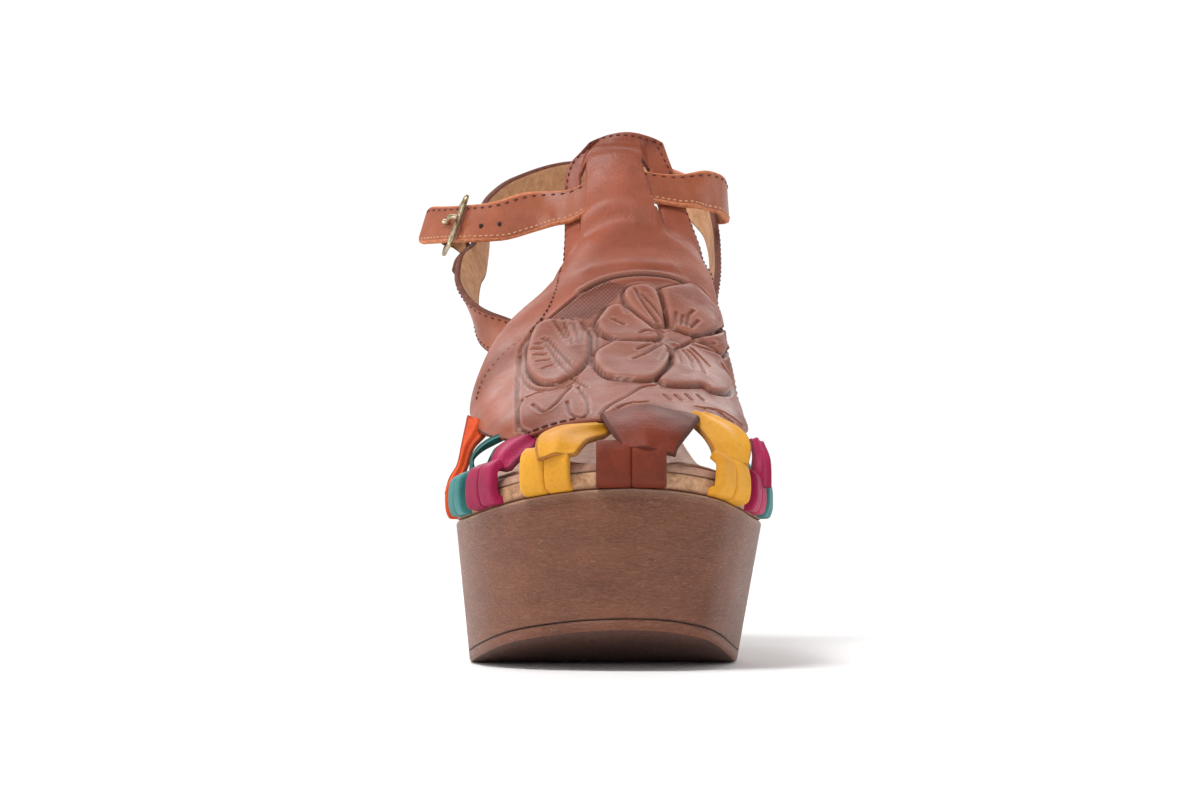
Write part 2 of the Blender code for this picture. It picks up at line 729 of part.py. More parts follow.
def make_ankle_strap():
    """Strap from the medial side of the harness through the tongue to the buckle."""
    section = strap_section(STRAP_WIDTH, STRAP_THICK)
    tongue = tongue_rings(section)
    middles = [sum(ring, Vector()) / len(ring) for ring in (tongue[0], tongue[-1])]
    last_lateral = upper_point(*STRAP_LATERAL[-1][:3])
    first_medial = upper_point(*STRAP_MEDIAL[0][:3])
    tip_run = upper_point(*STRAP_LATERAL[1][:3]) - upper_point(*STRAP_LATERAL[0][:3])
    stand = HARNESS_THICK / 2 + GAP + STRAP_THICK / 2
    lap = [harness_outside(share, stand, section) for share in STRAP_LAP]
    lap_middle = sum(lap[0], Vector()) / len(lap[0])
    lateral = strap_rings(STRAP_LATERAL, STRAP_WIDTH, STRAP_THICK, (tip_run, middles[0] - last_lateral))
    medial_runs = (first_medial - middles[1], lap_middle - upper_point(*STRAP_MEDIAL[-1][:3]))
    medial = strap_rings(STRAP_MEDIAL, STRAP_WIDTH, STRAP_THICK, medial_runs)
    rings = smooth_rings(lateral + tongue + medial + lap, 2)
    end = sum(rings[0], Vector()) / len(rings[0])
    rounded = [end + (point - end) * 0.72 - tip_run.normalized() * 3 * MM for point in rings[0]]
    return make_object("ankle_strap", loft([rounded] + rings), "strap", 50)


def deck_height(point):
    """Height of the wood's top at a point's place along the sole."""
    return wood_top(min(max(point.y / SOLE_LENGTH + BALL_SHARE, 0.0), 1.0))


def lace_base(share, side):
    """Point of the wood's top edge where a lacing strip bends up, its way out and its way along."""
    if side == 0:
        edge = side_point(FIRST_SHARE, 1, wood_top)
        edge.x = outline("lateral", 0.0) * HALF_BALL
        return edge, Vector((0, -1, 0)), Vector((1, 0, 0))
    step = 0.012
    edge = side_point(share, side, wood_top)
    low, high = max(share - step, FIRST_SHARE), share + step
    along = side_point(high, side, wood_top) - side_point(low, side, wood_top)
    out = Vector((along.y, -along.x, 0)).normalized() * side
    return edge, out, along.normalized()


def wrap_rings(lace):
    """Rings of a lacing strip from its tucked end round the insole's edge."""
    edge, out, along = lace_base(lace[1], lace[2])
    full = TOE_PAIR_WIDTH if lace[2] == 0 else PAIR_WIDTH
    points = []
    thicks = []
    for far, up, _, share in WRAP:
        thick = LACE_PLY + share * (LACE_THICK - LACE_PLY)
        stand = LACE_THICK / 2 + GAP - EDGE_INSET
        distance = far * TUCK if far <= -0.5 else stand + far * INSOLE
        point = edge + out * distance
        floor = edge.z if far > -0.5 else deck_height(point)
        point.z = floor + 2 * GAP + LACE_PLY / 2 + up * INSOLE
        points.append(point)
        thicks.append(thick)
    rings = []
    for i, (point, thick) in enumerate(zip(points, thicks)):
        run = points[min(i + 1, len(points) - 1)] - points[max(i - 1, 0)]
        groove = GROOVE * max((thick - LACE_PLY) / (LACE_THICK - LACE_PLY), 0.02)
        section = strap_section(full * WRAP[i][2], thick, groove)
        outwards = Vector((0, 0, -1)) if i < 2 else out
        rings.append(free_ring(point, run, along, section, outwards))
    return rings


def make_lace(lace):
    """Lacing strip: a folded pair round the insole's edge, running on as one ply into the vamp."""
    name, _, side, row, place, row_step, place_step = lace
    _, _, along = lace_base(lace[1], side)
    full = TOE_PAIR_WIDTH if side == 0 else PAIR_WIDTH
    row_way, place_way = (0.0, 1.0) if row_step else (1.0, 0.0)
    across_way = vamp_base(row + 0.1 * row_way, place + 0.1 * place_way) - vamp_base(row, place)
    if across_way.dot(along) < 0:
        row_way, place_way = -row_way, -place_way
    rings = wrap_rings(lace)
    for step, spare in ((0.0, 2 * GAP), (0.5, GAP), (1.0, GAP)):
        depth = VAMP_WALL + GAP + LACE_PLY / 2 + spare
        section = strap_section(full * LACE_NECK, LACE_PLY, GROOVE * 0.02)
        here, there = row + row_step * step, place + place_step * step
        rings.append(vamp_ring(here, there, row_way, place_way, depth, section, vamp_outer))
    return make_object(name, loft(smooth_rings(rings, 2)), name.split("_")[-1], 50)


def make_notch(lace):
    """Cutter for the end of a lacing strip below the insole board."""
    edge, out, along = lace_base(lace[1], lace[2])
    half = (TOE_PAIR_WIDTH if lace[2] == 0 else PAIR_WIDTH) / 2 + 2 * GAP
    inner = -(TUCK + 2 * GAP + LACE_PLY)
    outer = PAIR_WIDTH / 2
    floor, roof = -LACE_PLY * 3, LACE_PLY + 5 * GAP
    rings = []
    for far in (inner, -2 * EDGE_INSET, outer):
        spot = edge + out * far
        high = roof if far < 0 else roof + 2 * GAP
        ring = []
        for sideways, rise in ((-half, floor), (half, floor), (half, high), (-half, high)):
            corner = spot + along * sideways
            corner.z += deck_height(spot) - edge.z + rise if far < 0 else rise
            ring.append(corner)
        rings.append(ring)
    work = loft(rings)
    bmesh.ops.recalc_face_normals(work, faces=work.faces)
    mesh = bpy.data.meshes.new("notch")
    work.to_mesh(mesh)
    work.free()
    cutter = bpy.data.objects.new("notch_" + lace[0], mesh)
    bpy.context.scene.collection.objects.link(cutter)
    cutter.hide_render = True
    cutter.display_type = "WIRE"
    return cutter


def buckle_axes():
    """Middle of the buckle on the strap, the strap's way to its tip, width way and way outwards."""
    row = STRAP_LATERAL[BUCKLE_STATION]
    middle = upper_point(*row[:3])
    tipwards = upper_point(*STRAP_LATERAL[BUCKLE_STATION - 1][:3])
    inwards = upper_point(*STRAP_LATERAL[BUCKLE_STATION + 1][:3])
    run = (tipwards - inwards).normalized()
    wide, away = leaning(middle, row[3])
    wide = (wide - run * wide.dot(run)).normalized()
    out = wide.cross(run)
    if out.dot(away) < 0:
        out = -out
    return middle, run, wide, out


def square_wire(wire):
    nip = 0.25 * wire
    half = wire / 2
    return [
        (-half, nip - half), (nip - half, -half), (half - nip, -half), (half, nip - half),
        (half, half - nip), (half - nip, half), (nip - half, half), (-half, half - nip),
    ]


BAR_REACH = BUCKLE_LENGTH / 2 - BUCKLE_WIRE / 2
FRONT_STAND = STRAP_THICK / 2 + STRAP_PLAY + GAP + BUCKLE_WIRE / 2
HEEL_STAND = STRAP_THICK / 2 + STRAP_PLAY + GAP + TAB_THICK + BUCKLE_WIRE / 2


def bar_stand(along):
    """Height of the frame above the strap: front bar outside it, heel bar inside."""
    share = (along + BAR_REACH) / (2 * BAR_REACH)
    return FRONT_STAND - share * (FRONT_STAND + HEEL_STAND)


def make_buckle_frame():
    """Closed rectangular frame round the strap, its corners cut."""
    middle, run, wide, out = buckle_axes()
    work = bmesh.new()
    half_high = BUCKLE_HEIGHT / 2 - BUCKLE_WIRE / 2
    nip = BUCKLE_WIRE * 0.6
    route = []
    for a, b in ((1, 1), (-1, 1), (-1, -1), (1, -1)):
        cuts = ((0, nip), (nip, 0)) if a * b > 0 else ((nip, 0), (0, nip))
        for cut_a, cut_b in cuts:
            route.append((a * (BAR_REACH - cut_a), b * (half_high - cut_b)))
    rings = []
    count = len(route)
    for i, (a, b) in enumerate(route):
        before, after = route[i - 1], route[(i + 1) % count]
        way = Vector((after[0] - before[0], after[1] - before[1])).normalized()
        centre = middle + run * a + wide * b + out * bar_stand(a)
        side = run * way.y - wide * way.x
        rings.append([work.verts.new(centre + side * p + out * q) for p, q in square_wire(BUCKLE_WIRE)])
    for low, high in zip(rings, rings[1:] + rings[:1]):
        for k in range(len(low)):
            m = (k + 1) % len(low)
            work.faces.new((low[k], low[m], high[m], high[k]))
    return make_object("buckle_frame", work, "metal", 40)


def make_prong():
    """Prong from the heel bar to rest on the front bar of the buckle."""
    middle, run, wide, out = buckle_axes()
    root = BAR_REACH - BUCKLE_WIRE / 2 - GAP - PRONG_WIRE / 2
    root_stand = STRAP_THICK / 2 + GAP + PRONG_WIRE / 2
    rest_stand = FRONT_STAND + BUCKLE_WIRE / 2 + GAP + PRONG_WIRE / 2
    route = ((root, root_stand), (0.2 * BAR_REACH, root_stand), (-0.7 * BAR_REACH, rest_stand))
    tip = (-BAR_REACH - 1.1 * BUCKLE_WIRE, rest_stand)
    section = strap_section(PRONG_WIRE, PRONG_WIRE)
    rings = []
    for along, stand in route + (tip,):
        rings.append([middle + run * along + out * (stand + b) + wide * a for a, b in section])
    return make_object("buckle_prong", loft(smooth_rings(rings, 2)), "metal", 40)


def make_tab():
    """Leather tab stitched to the harness and folded round the buckle's heel bar."""
    middle, run, wide, out = buckle_axes()
    bar = middle + run * BAR_REACH - out * HEEL_STAND
    turn = BUCKLE_WIRE / 2 + GAP + TAB_THICK / 2
    section = strap_section(TAB_WIDTH, TAB_THICK)
    stand = HARNESS_THICK / 2 + 2 * GAP + TAB_THICK / 2
    turned_over = [(a, -b) for a, b in section]
    rings = [harness_outside(share, stand, turned_over) for share in TAB_LAP]
    for angle in (-100, -50, 0, 45, 80):
        turned = math.radians(angle)
        spoke = run * math.cos(turned) + out * math.sin(turned)
        rings.append([bar + spoke * (turn + b) + wide * a for a, b in section])
    return make_object("buckle_tab", loft(smooth_rings(rings, 2)), "strap", 50)


def main():
    for old in list(bpy.data.objects):
        bpy.data.objects.remove(old)
    make_wood()
    make_outsole()
    make_lift()
    make_board([make_notch(lace) for lace in LACES])
    make_sock()
    make_vamp()
    make_harness()
    make_ankle_strap()
    for lace in LACES:
        make_lace(lace)
    make_buckle_frame()
    make_prong()
    make_tab()


main()
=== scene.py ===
"""Looks of the platform sandal with a wooden sole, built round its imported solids.

Metres, +Z up, toe to -Y, +X the inner side of the right foot. Pieces with a soft or tooled
surface are rebuilt finer on the same shape functions as the solids; stitches and cut edges are
added to them.
"""

import math

import bmesh
import bpy
import numpy as np
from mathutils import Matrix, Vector
from mathutils.bvhtree import BVHTree


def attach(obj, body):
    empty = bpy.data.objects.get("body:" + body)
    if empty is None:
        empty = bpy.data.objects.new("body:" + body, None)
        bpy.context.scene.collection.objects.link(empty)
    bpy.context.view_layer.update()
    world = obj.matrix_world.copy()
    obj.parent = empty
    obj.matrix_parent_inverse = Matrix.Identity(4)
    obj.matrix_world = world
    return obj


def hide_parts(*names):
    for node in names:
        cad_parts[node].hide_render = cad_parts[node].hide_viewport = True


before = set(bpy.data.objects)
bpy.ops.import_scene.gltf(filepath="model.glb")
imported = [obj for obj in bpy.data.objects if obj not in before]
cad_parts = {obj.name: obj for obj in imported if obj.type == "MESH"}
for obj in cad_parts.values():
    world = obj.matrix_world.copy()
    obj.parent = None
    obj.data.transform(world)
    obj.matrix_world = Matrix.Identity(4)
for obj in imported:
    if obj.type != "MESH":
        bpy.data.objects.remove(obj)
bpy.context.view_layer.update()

MM = 0.001

# Camera, matched to the photograph's frame of 1200 by 800 pixels
CAMERA_PLACE = (0.0, -1.07, 0.055)
CAMERA_TILT = 91.31
CAMERA_TURN = 0.164
CAMERA_LENS = 105
CAMERA_SENSOR = 36
FRAME_SIZE = (1200, 800)
FOCAL_PIXELS = CAMERA_LENS / CAMERA_SENSOR * FRAME_SIZE[0]

# Light: strength of the room above and of the backdrop round it, and lamps in watts
FLOOR_HALF = 1.25
BACKDROP_TOP = 0.22
ROOM_LIGHT = 0.3
BACKDROP_LIGHT = 1.04
KEY_POWER = 12.5
SIDE_POWER = 2.1
FLOOR_POWER = 34

# Sole sizes
SOLE_LENGTH = 232 * MM
BALL_WIDTH = 93.5 * MM
BALL_SHARE = 0.302
PLATFORM = 39.2 * MM
TOE_SPRING = 12 * MM
TOE_RISE = 10.5 * MM
HEEL_RISE = 42.5 * MM
ARCH_RISE = 36 * MM
BREAST_TOP = 0.725
BREAST_FOOT = 0.752
TOE_LEAN = 4.5 * MM
HEEL_LEAN = 6 * MM
RIM_ROUND = 1.2 * MM
NOSE_REACH = 25 * MM
WELD = 0.02 * MM
OUTSOLE = 3 * MM
OUTSOLE_END = 0.43
LIFT = 5 * MM

# Insole sizes
BOARD = 8.4 * MM
SOCK = 1.3 * MM
EDGE_INSET = 0.6 * MM
EDGE_ROUND = 3.4 * MM
CUP_DEPTH = 1.6 * MM
EDGE_SEAM = 5.2 * MM

# Upper sizes
UPPER_HEIGHT = 129 * MM
VAMP_WALL = 2.3 * MM
SLIT_ROWS = (9.35, 11.35)
FLAP_ROWS = (9.20, 12.20)
TONGUE_ROW = 8.5
TONGUE_CALM = 0.3
STRAP_WIDTH = 13.6 * MM
STRAP_THICK = 1.9 * MM
STRAP_PLAY = 0.5 * MM
HARNESS_WIDTH = 13 * MM
HARNESS_THICK = 2.1 * MM

# Lacing strips
PAIR_WIDTH = 15 * MM
TOE_PAIR_WIDTH = 20 * MM
LACE_THICK = 3 * MM
LACE_PLY = 1.7 * MM
TUCK = 8 * MM

# Buckle sizes
BUCKLE_HEIGHT = 20.4 * MM
BUCKLE_LENGTH = 13 * MM
BUCKLE_WIRE = 2.2 * MM
PRONG_WIRE = 1.8 * MM
TAB_WIDTH = 11 * MM
TAB_THICK = 1.4 * MM

GAP = 0.3 * MM

GROUND_SKIN = OUTSOLE + GAP
BALL_TOP = GROUND_SKIN + PLATFORM
HALF_BALL = BALL_WIDTH / 2
INSOLE = BOARD + GAP + SOCK
STRAP_SINK = STRAP_THICK / 3
BAND_LIFT = STRAP_THICK / 2 + STRAP_PLAY + VAMP_WALL - STRAP_SINK
FLAP_SINK = STRAP_THICK / 2 + STRAP_PLAY + STRAP_SINK
BAR_REACH = BUCKLE_LENGTH / 2 - BUCKLE_WIRE / 2
FRONT_STAND = STRAP_THICK / 2 + STRAP_PLAY + GAP + BUCKLE_WIRE / 2
HEEL_STAND = STRAP_THICK / 2 + STRAP_PLAY + GAP + TAB_THICK + BUCKLE_WIRE / 2

# Detail of the meshes: points across a face, round a rim and down a flank of the wood, and the
# steps between two given rings
FACE_POINTS = 9
RIM_POINTS = 4
FLANK_POINTS = 16
FLANK_STEPS = tuple(range(1, FLANK_POINTS)) + (15.8,)
SKIN_STEPS = 5
LOOP_STEPS = 6

# Folds of the strips' loops: flats across one, height of a fold, and how many lie across
LOOP_FLATS = 17
LOOP_FOLD = 0.5 * MM
LOOP_WAVES = 5.2

# Outline of the sole at its top edge, in shares of half the ball width, and its side view, in
# shares of the rises and the spring
OUTLINE_COLUMNS = ("share", "lateral", "medial", "lateral_draft", "medial_draft")
OUTLINE = (
    (0.0, 0.13, 0.13, 0.06, 0.10),
    (0.03, -0.49, 0.64, 0.08, 0.14),
    (0.08, -0.75, 0.81, 0.10, 0.17),
    (0.16, -0.92, 0.92, 0.10, 0.18),
    (0.25, -0.995, 0.98, 0.10, 0.18),
    (0.32, -1.0, 0.985, 0.10, 0.18),
    (0.42, -0.96, 0.835, 0.09, 0.14),
    (0.52, -0.875, 0.65, 0.07, 0.08),
    (0.62, -0.77, 0.535, 0.05, 0.04),
    (0.69, -0.71, 0.49, 0.04, 0.03),
    (0.80, -0.685, 0.52, 0.03, 0.03),
    (0.90, -0.63, 0.53, 0.03, 0.03),
    (0.96, -0.45, 0.38, 0.02, 0.02),
    (1.0, -0.05, -0.05, 0.02, 0.02),
)
PROFILE_COLUMNS = ("share", "toe_rise", "heel_rise", "toe_spring", "arch_rise")
PROFILE = (
    (0.0, 1.0, 0.0, 1.0, 0.0),
    (0.035, 0.70, 0.0, 0.80, 0.0),
    (0.065, 0.50, 0.0, 0.66, 0.0),
    (0.13, 0.22, 0.0, 0.36, 0.0),
    (0.215, 0.05, 0.0, 0.08, 0.0),
    (0.27, 0.0, 0.0, 0.0, 0.0),
    (0.32, 0.0, 0.0, 0.0, 0.0),
    (0.40, 0.0, 0.07, 0.0, 0.0),
    (0.50, 0.0, 0.18, 0.0, 0.22),
    (0.60, 0.0, 0.365, 0.0, 0.68),
    (0.69, 0.0, 0.555, 0.0, 0.95),
    (0.76, 0.0, 0.70, 0.0, 1.0),
    (0.82, 0.0, 0.82, 0.0, 1.0),
    (0.905, 0.0, 0.945, 0.0, 1.0),
    (1.0, 0.0, 1.0, 0.0, 1.0),
)

# Vamp and tongue, a row for each arch from the front edge to the top of the tongue: x, y, z of
# the ridge, the lateral edge and the medial edge, then shoulder and wall
VAMP = (
    (0.14, 0.103, 0.240, -0.56, 0.145, 0.182, 0.72, 0.135, 0.212, 0.62, 0.25),
    (0.12, 0.160, 0.282, -0.74, 0.195, 0.192, 0.84, 0.190, 0.205, 0.62, 0.40),
    (0.11, 0.235, 0.338, -0.84, 0.262, 0.205, 0.895, 0.262, 0.208, 0.62, 0.50),
    (0.10, 0.315, 0.402, -0.905, 0.325, 0.232, 0.89, 0.325, 0.225, 0.60, 0.52),
    (0.10, 0.385, 0.466, -0.935, 0.378, 0.268, 0.86, 0.378, 0.262, 0.58, 0.52),
    (0.10, 0.445, 0.532, -0.865, 0.425, 0.352, 0.82, 0.425, 0.355, 0.56, 0.48),
    (0.10, 0.498, 0.598, -0.765, 0.468, 0.428, 0.775, 0.468, 0.430, 0.54, 0.42),
    (0.10, 0.546, 0.662, -0.590, 0.515, 0.472, 0.755, 0.515, 0.495, 0.52, 0.36),
    (0.09, 0.586, 0.720, -0.445, 0.565, 0.538, 0.725, 0.560, 0.568, 0.50, 0.32),
    (0.07, 0.620, 0.777, -0.372, 0.606, 0.628, 0.690, 0.604, 0.646, 0.48, 0.30),
    (0.05, 0.650, 0.838, -0.345, 0.641, 0.723, 0.620, 0.640, 0.730, 0.46, 0.28),
    (0.04, 0.676, 0.900, -0.343, 0.671, 0.816, 0.530, 0.671, 0.824, 0.44, 0.26),
    (0.07, 0.694, 0.958, -0.315, 0.693, 0.910, 0.450, 0.693, 0.912, 0.42, 0.24),
    (0.12, 0.703, 0.998, -0.150, 0.703, 0.968, 0.380, 0.703, 0.968, 0.42, 0.22),
)
LAST_ROW = len(VAMP) - 1
TOOLED_ROW = 6.6
LATERAL_SLIT = (0.39, 0.52)
MEDIAL_SLIT = (0.28, 0.39)

# Heel harness behind the ankle: x, y, z in the vamp's shares and lean in degrees
HARNESS = (
    (-0.610, 0.512, 0.432, -36),
    (-0.750, 0.546, 0.455, -14),
    (-0.888, 0.575, 0.484, 14),
    (-0.969, 0.612, 0.531, 34),
    (-1.010, 0.655, 0.588, 42),
    (-0.995, 0.694, 0.638, 34),
    (-0.945, 0.740, 0.670, 12),
    (-0.918, 0.780, 0.726, 4),
    (-0.900, 0.815, 0.786, -2),
    (-0.820, 0.853, 0.825, -6),
    (-0.690, 0.893, 0.860, -8),
    (-0.380, 0.945, 0.905, -10),
    (-0.060, 0.962, 0.915, -10),
    (0.250, 0.945, 0.902, -10),
    (0.520, 0.880, 0.858, -8),
    (0.695, 0.815, 0.791, -3),
    (0.738, 0.763, 0.733, 2),
    (0.749, 0.724, 0.674, 6),
    (0.744, 0.681, 0.612, 10),
    (0.734, 0.634, 0.550, 5),
    (0.718, 0.586, 0.496, -8),
    (0.690, 0.539, 0.456, -22),
    (0.650, 0.497, 0.436, -36),
)
HARNESS_LAP = ((4.95, 0.76), (5.45, 0.78))
HARNESS_LAP_WAY = (-0.35, 0.40)
HARNESS_STEPS = 2

# Ankle strap: place and row on the tongue, then its way on each side of it
TONGUE_STRAP = ((-1.0, 10.80), (-0.45, 10.22), (0.0, 10.17), (0.32, 10.45), (1.0, 11.25))
STRAP_LATERAL = (
    (-1.310, 0.790, 0.765, -22),
    (-1.225, 0.767, 0.763, -25),
    (-1.120, 0.743, 0.762, -26),
    (-0.990, 0.714, 0.760, -22),
    (-0.790, 0.693, 0.764, -6),
    (-0.560, 0.680, 0.785, 0),
)
STRAP_MEDIAL = (
    (0.680, 0.694, 0.842, -4),
    (0.785, 0.712, 0.834, -4),
    (0.830, 0.750, 0.818, -4),
)
STRAP_LEAVES = 0.52
BUCKLE_STATION = 2
STRAP_LAP = (0.63, 0.61, 0.59)
TAB_LAP = (0.25, 0.27, 0.288, 0.308)
ANKLE_MIDDLE = (-0.10, 0.80, 0.80)

# Lacing strips: name, share of the sole where it bends up, side of the sole, and where its upper
# end lies on the vamp, with the way that it runs on inside
LACES = (
    ("lace_toe_brown", 0.0, 0, 0.0, 0.06, 0.40, 0.0),
    ("lace_lateral_yellow", 0.020, -1, 0.0, -0.50, 0.40, 0.0),
    ("lace_lateral_magenta", 0.085, -1, 0.50, -1.0, 0.0, 0.14),
    ("lace_lateral_teal", 0.165, -1, 1.50, -1.0, 0.0, 0.13),
    ("lace_lateral_orange", 0.268, -1, 2.80, -1.0, 0.0, 0.12),
    ("lace_medial_yellow", 0.048, 1, 0.0, 0.60, 0.40, 0.0),
    ("lace_medial_magenta", 0.132, 1, 0.88, 1.0, 0.0, -0.14),
    ("lace_medial_teal", 0.215, 1, 1.80, 1.0, 0.0, -0.13),
    ("lace_medial_orange", 0.305, 1, 3.00, 1.0, 0.0, -0.12),
)
# Way of a lacing strip round the insole: out and up
WRAP = ((-1.0, 0.0), (-0.5, 0.0), (-0.02, 0.06), (0.05, 0.28), (0.06, 0.58), (0.0, 0.92))
# Upper ends of the strips as seen from the front: pixels of the left and right edge, and how far
# along the shoe each edge lies in millimetres
LOOPS = {
    "lace_toe_brown": (
        (600, 416, 700, 419, -45, -45), (603, 420, 697, 423, -53, -53), (607, 427, 692, 430, -61, -61),
        (613, 435, 685, 439, -66.5, -66.5), (618, 442, 678, 449, -69.5, -69.5),
        (621, 449, 676, 456, -71, -71),
    ),
    "lace_lateral_yellow": (
        (594, 423, 611, 434, -46, -46), (578, 425, 607, 437, -49, -49), (562, 427, 602, 439, -52, -53),
        (549, 431, 594, 441, -56, -58), (538, 438, 588, 443, -61, -63), (535, 449, 582, 449, -67, -68),
        (537, 460, 577, 455, -69, -70),
    ),
    "lace_lateral_magenta": (
        (519, 437, 538, 442, -37, -38), (508, 441, 536, 448, -40, -42), (497, 448, 529, 455, -44, -47),
        (491, 459, 519, 462, -48, -52), (489, 475, 512, 469, -51, -56),
    ),
    "lace_lateral_teal": (
        (498, 434, 503, 441, -26, -26), (487, 439, 493, 446, -28, -28), (476, 448, 481, 453, -31, -31),
        (470, 460, 474, 462, -33, -33), (469, 472, 476, 472, -34, -34),
    ),
    "lace_lateral_orange": (
        (467, 416, 492, 430, -2, -4), (463, 436, 484, 438, -5, -7), (461, 447, 474, 449, -7, -9),
        (457, 465, 468, 467, -8, -10), (449, 479, 463, 479, -9, -11), (445, 494, 457, 492, -9, -11),
    ),
    "lace_medial_yellow": (
        (684, 418, 706, 414, -43, -40), (693, 427, 724, 421, -47, -42), (703, 437, 744, 433, -52, -47),
        (710, 448, 751, 449, -57, -51), (714, 461, 748, 466, -60, -54),
    ),
    "lace_medial_magenta": (
        (749, 440, 764, 444, -28, -28), (752, 455, 770, 459, -34, -33), (751, 471, 771, 474, -38, -35),
        (751, 486, 771, 488, -39, -36),
    ),
}
TEAL_EYE_STRIP = (
    (503, 443, 508, 449, -28, -28), (494, 449, 499, 456, -31, -32), (489, 459, 493, 462, -33, -34),
    (484, 471, 489, 472, -34, -34),
)

# Tooled ornament, seams and holes by where they lie in the frame, in pixels
ARCH_GROOVE = (
    (550, 318), (567, 303), (583, 291), (600, 282.5), (617, 277.5), (642, 275), (667, 277), (683, 282),
    (697, 288), (708, 297), (717, 308),
)
ARCH_SWELL = ((590, 270), (612, 266), (642, 264), (670, 266))
BORDER_GROOVE = ((543, 318), (530, 335), (520, 352), (518, 375), (517, 405), (517, 430))
HATCHED = (
    (550, 318), (570, 302), (587, 289), (607, 282), (627, 285), (620, 291), (615, 300), (607, 305),
    (600, 312), (593, 317), (588, 320), (578, 318), (563, 319),
)
LEAF = (
    (548, 320), (536, 327), (530, 338), (526, 352), (525, 365), (530, 377), (540, 384), (552, 385),
    (565, 381), (576, 374), (586, 363), (591, 352), (591, 340), (585, 328), (578, 321),
)
PETALS = (
    ((594, 324), (600, 315), (608, 307), (620, 305), (632, 312), (640, 318), (655, 330), (661, 338),
     (656, 341), (633, 342), (613, 341), (600, 335)),
    ((632, 312), (624, 303), (622, 295), (627, 288), (642, 285), (655, 290), (661, 299), (664, 310),
     (667, 328), (652, 326), (640, 318)),
    ((658, 290), (672, 286), (690, 284), (708, 298), (720, 315), (722, 327), (716, 334), (703, 337),
     (692, 336), (680, 332), (671, 328), (664, 310)),
    ((613, 343), (600, 350), (593, 355), (592, 362), (597, 370), (607, 378), (627, 381), (645, 382),
     (660, 377), (668, 367), (671, 355), (666, 346), (640, 343)),
    ((692, 342), (708, 348), (720, 358), (727, 372), (732, 385), (727, 395), (712, 393), (700, 387),
     (683, 387), (667, 386), (657, 381), (669, 368), (673, 352), (682, 346)),
    ((692, 337), (708, 334), (722, 330), (728, 342), (722, 357), (708, 347)),
)
VEINS = (
    ((520, 355), (521, 375), (532, 388), (550, 390), (567, 383), (577, 378)),
    ((578, 321), (593, 328), (598, 342), (595, 355), (588, 365)),
    ((544, 342), (552, 355), (562, 368), (573, 379), (587, 388)),
    ((548, 342), (557, 352), (567, 363), (577, 375)),
    ((537, 347), (542, 347)), ((533, 352), (544, 352)), ((535, 358), (547, 358)), ((538, 365), (550, 363)),
    ((543, 372), (553, 368)), ((555, 325), (567, 342)), ((563, 322), (573, 348)), ((573, 322), (580, 348)),
    ((582, 325), (583, 348)),
    ((662, 337), (647, 333), (639, 336)), ((660, 344), (647, 348), (637, 352)),
    ((660, 347), (647, 355), (633, 361)), ((663, 333), (650, 323), (645, 322)),
    ((660, 328), (642, 305), (635, 292)), ((667, 328), (655, 312), (642, 298)), ((668, 328), (664, 310)),
    ((673, 327), (675, 315)), ((680, 327), (682, 318)), ((685, 328), (687, 318), (692, 313)),
    ((690, 330), (697, 323)), ((692, 340), (702, 338), (713, 335)), ((693, 342), (712, 346)),
    ((692, 347), (707, 352), (722, 358)), ((677, 353), (681, 368)), ((682, 352), (690, 363), (692, 372)),
    ((687, 352), (697, 363), (703, 377)), ((690, 350), (703, 362), (708, 368)), ((672, 353), (672, 368)),
    ((667, 352), (660, 363)), ((720, 367), (730, 382)), ((623, 308), (627, 316)), ((613, 322), (624, 327)),
)
SCROLLS = (
    ((522, 400), (518, 413), (520, 428), (527, 432)),
    ((527, 397), (538, 393), (550, 391), (567, 387), (573, 383)),
    ((533, 405), (543, 412), (555, 405), (562, 397), (570, 388)),
    ((567, 402), (570, 413), (578, 417), (588, 413), (587, 402), (578, 388)),
    ((600, 415), (608, 407), (625, 397), (642, 387), (655, 385)),
    ((607, 415), (627, 405), (647, 402)),
    ((617, 408), (633, 403)),
    ((708, 408), (725, 413), (742, 425)),
    ((697, 407), (717, 412), (733, 422)),
    ((664, 394), (670, 400)), ((675, 394), (681, 400)), ((686, 394), (692, 400)), ((697, 394), (703, 400)),
)
LATERAL_SEAM = (
    (563, 255), (560, 272), (555, 292), (548, 308), (536, 325), (523, 338), (506, 352), (490, 369),
    (481, 384), (476, 400),
)
STRAP_HOLES = ((481, 226), (499.5, 224))
HOLE = 1.5 * MM
PANEL_FOOT = ((735, 330), (745, 400), (748, 440), (517, 440))
FLOWER_MIDDLE = (675, 344)
HATCH_LINES = 330


# Numbers and shapes shared with the solids


def curve(knots, values, at):
    """Monotone cubic through rows of values at the knots, for an array of places."""
    knots, values, at = np.asarray(knots, float), np.asarray(values, float), np.asarray(at, float)
    across = (-1,) + (1,) * (values.ndim - 1)
    places = np.clip(at.ravel(), knots[0], knots[-1])
    cell = np.clip(np.searchsorted(knots, places, side="right") - 1, 0, len(knots) - 2)
    width = np.diff(knots)
    secant = np.diff(values, axis=0) / width.reshape(across)
    slope = np.empty_like(values)
    slope[0], slope[-1] = secant[0], secant[-1]
    mean = (values[2:] - values[:-2]) / (knots[2:] - knots[:-2]).reshape(across)
    before, after = secant[:-1], secant[1:]
    size = np.minimum(np.abs(mean), 3 * np.minimum(np.abs(before), np.abs(after)))
    slope[1:-1] = np.where(before * after > 0, np.sign(mean) * size, 0.0)
    t = ((places - knots[cell]) / width[cell]).reshape(across)
    rise = values[cell + 1] - values[cell]
    start = slope[cell] * width[cell].reshape(across)
    end = slope[cell + 1] * width[cell].reshape(across)
    found = values[cell] + t * (start + t * (3 * rise - 2 * start - end + t * (start + end - 2 * rise)))
    return found.reshape(at.shape + values.shape[1:])


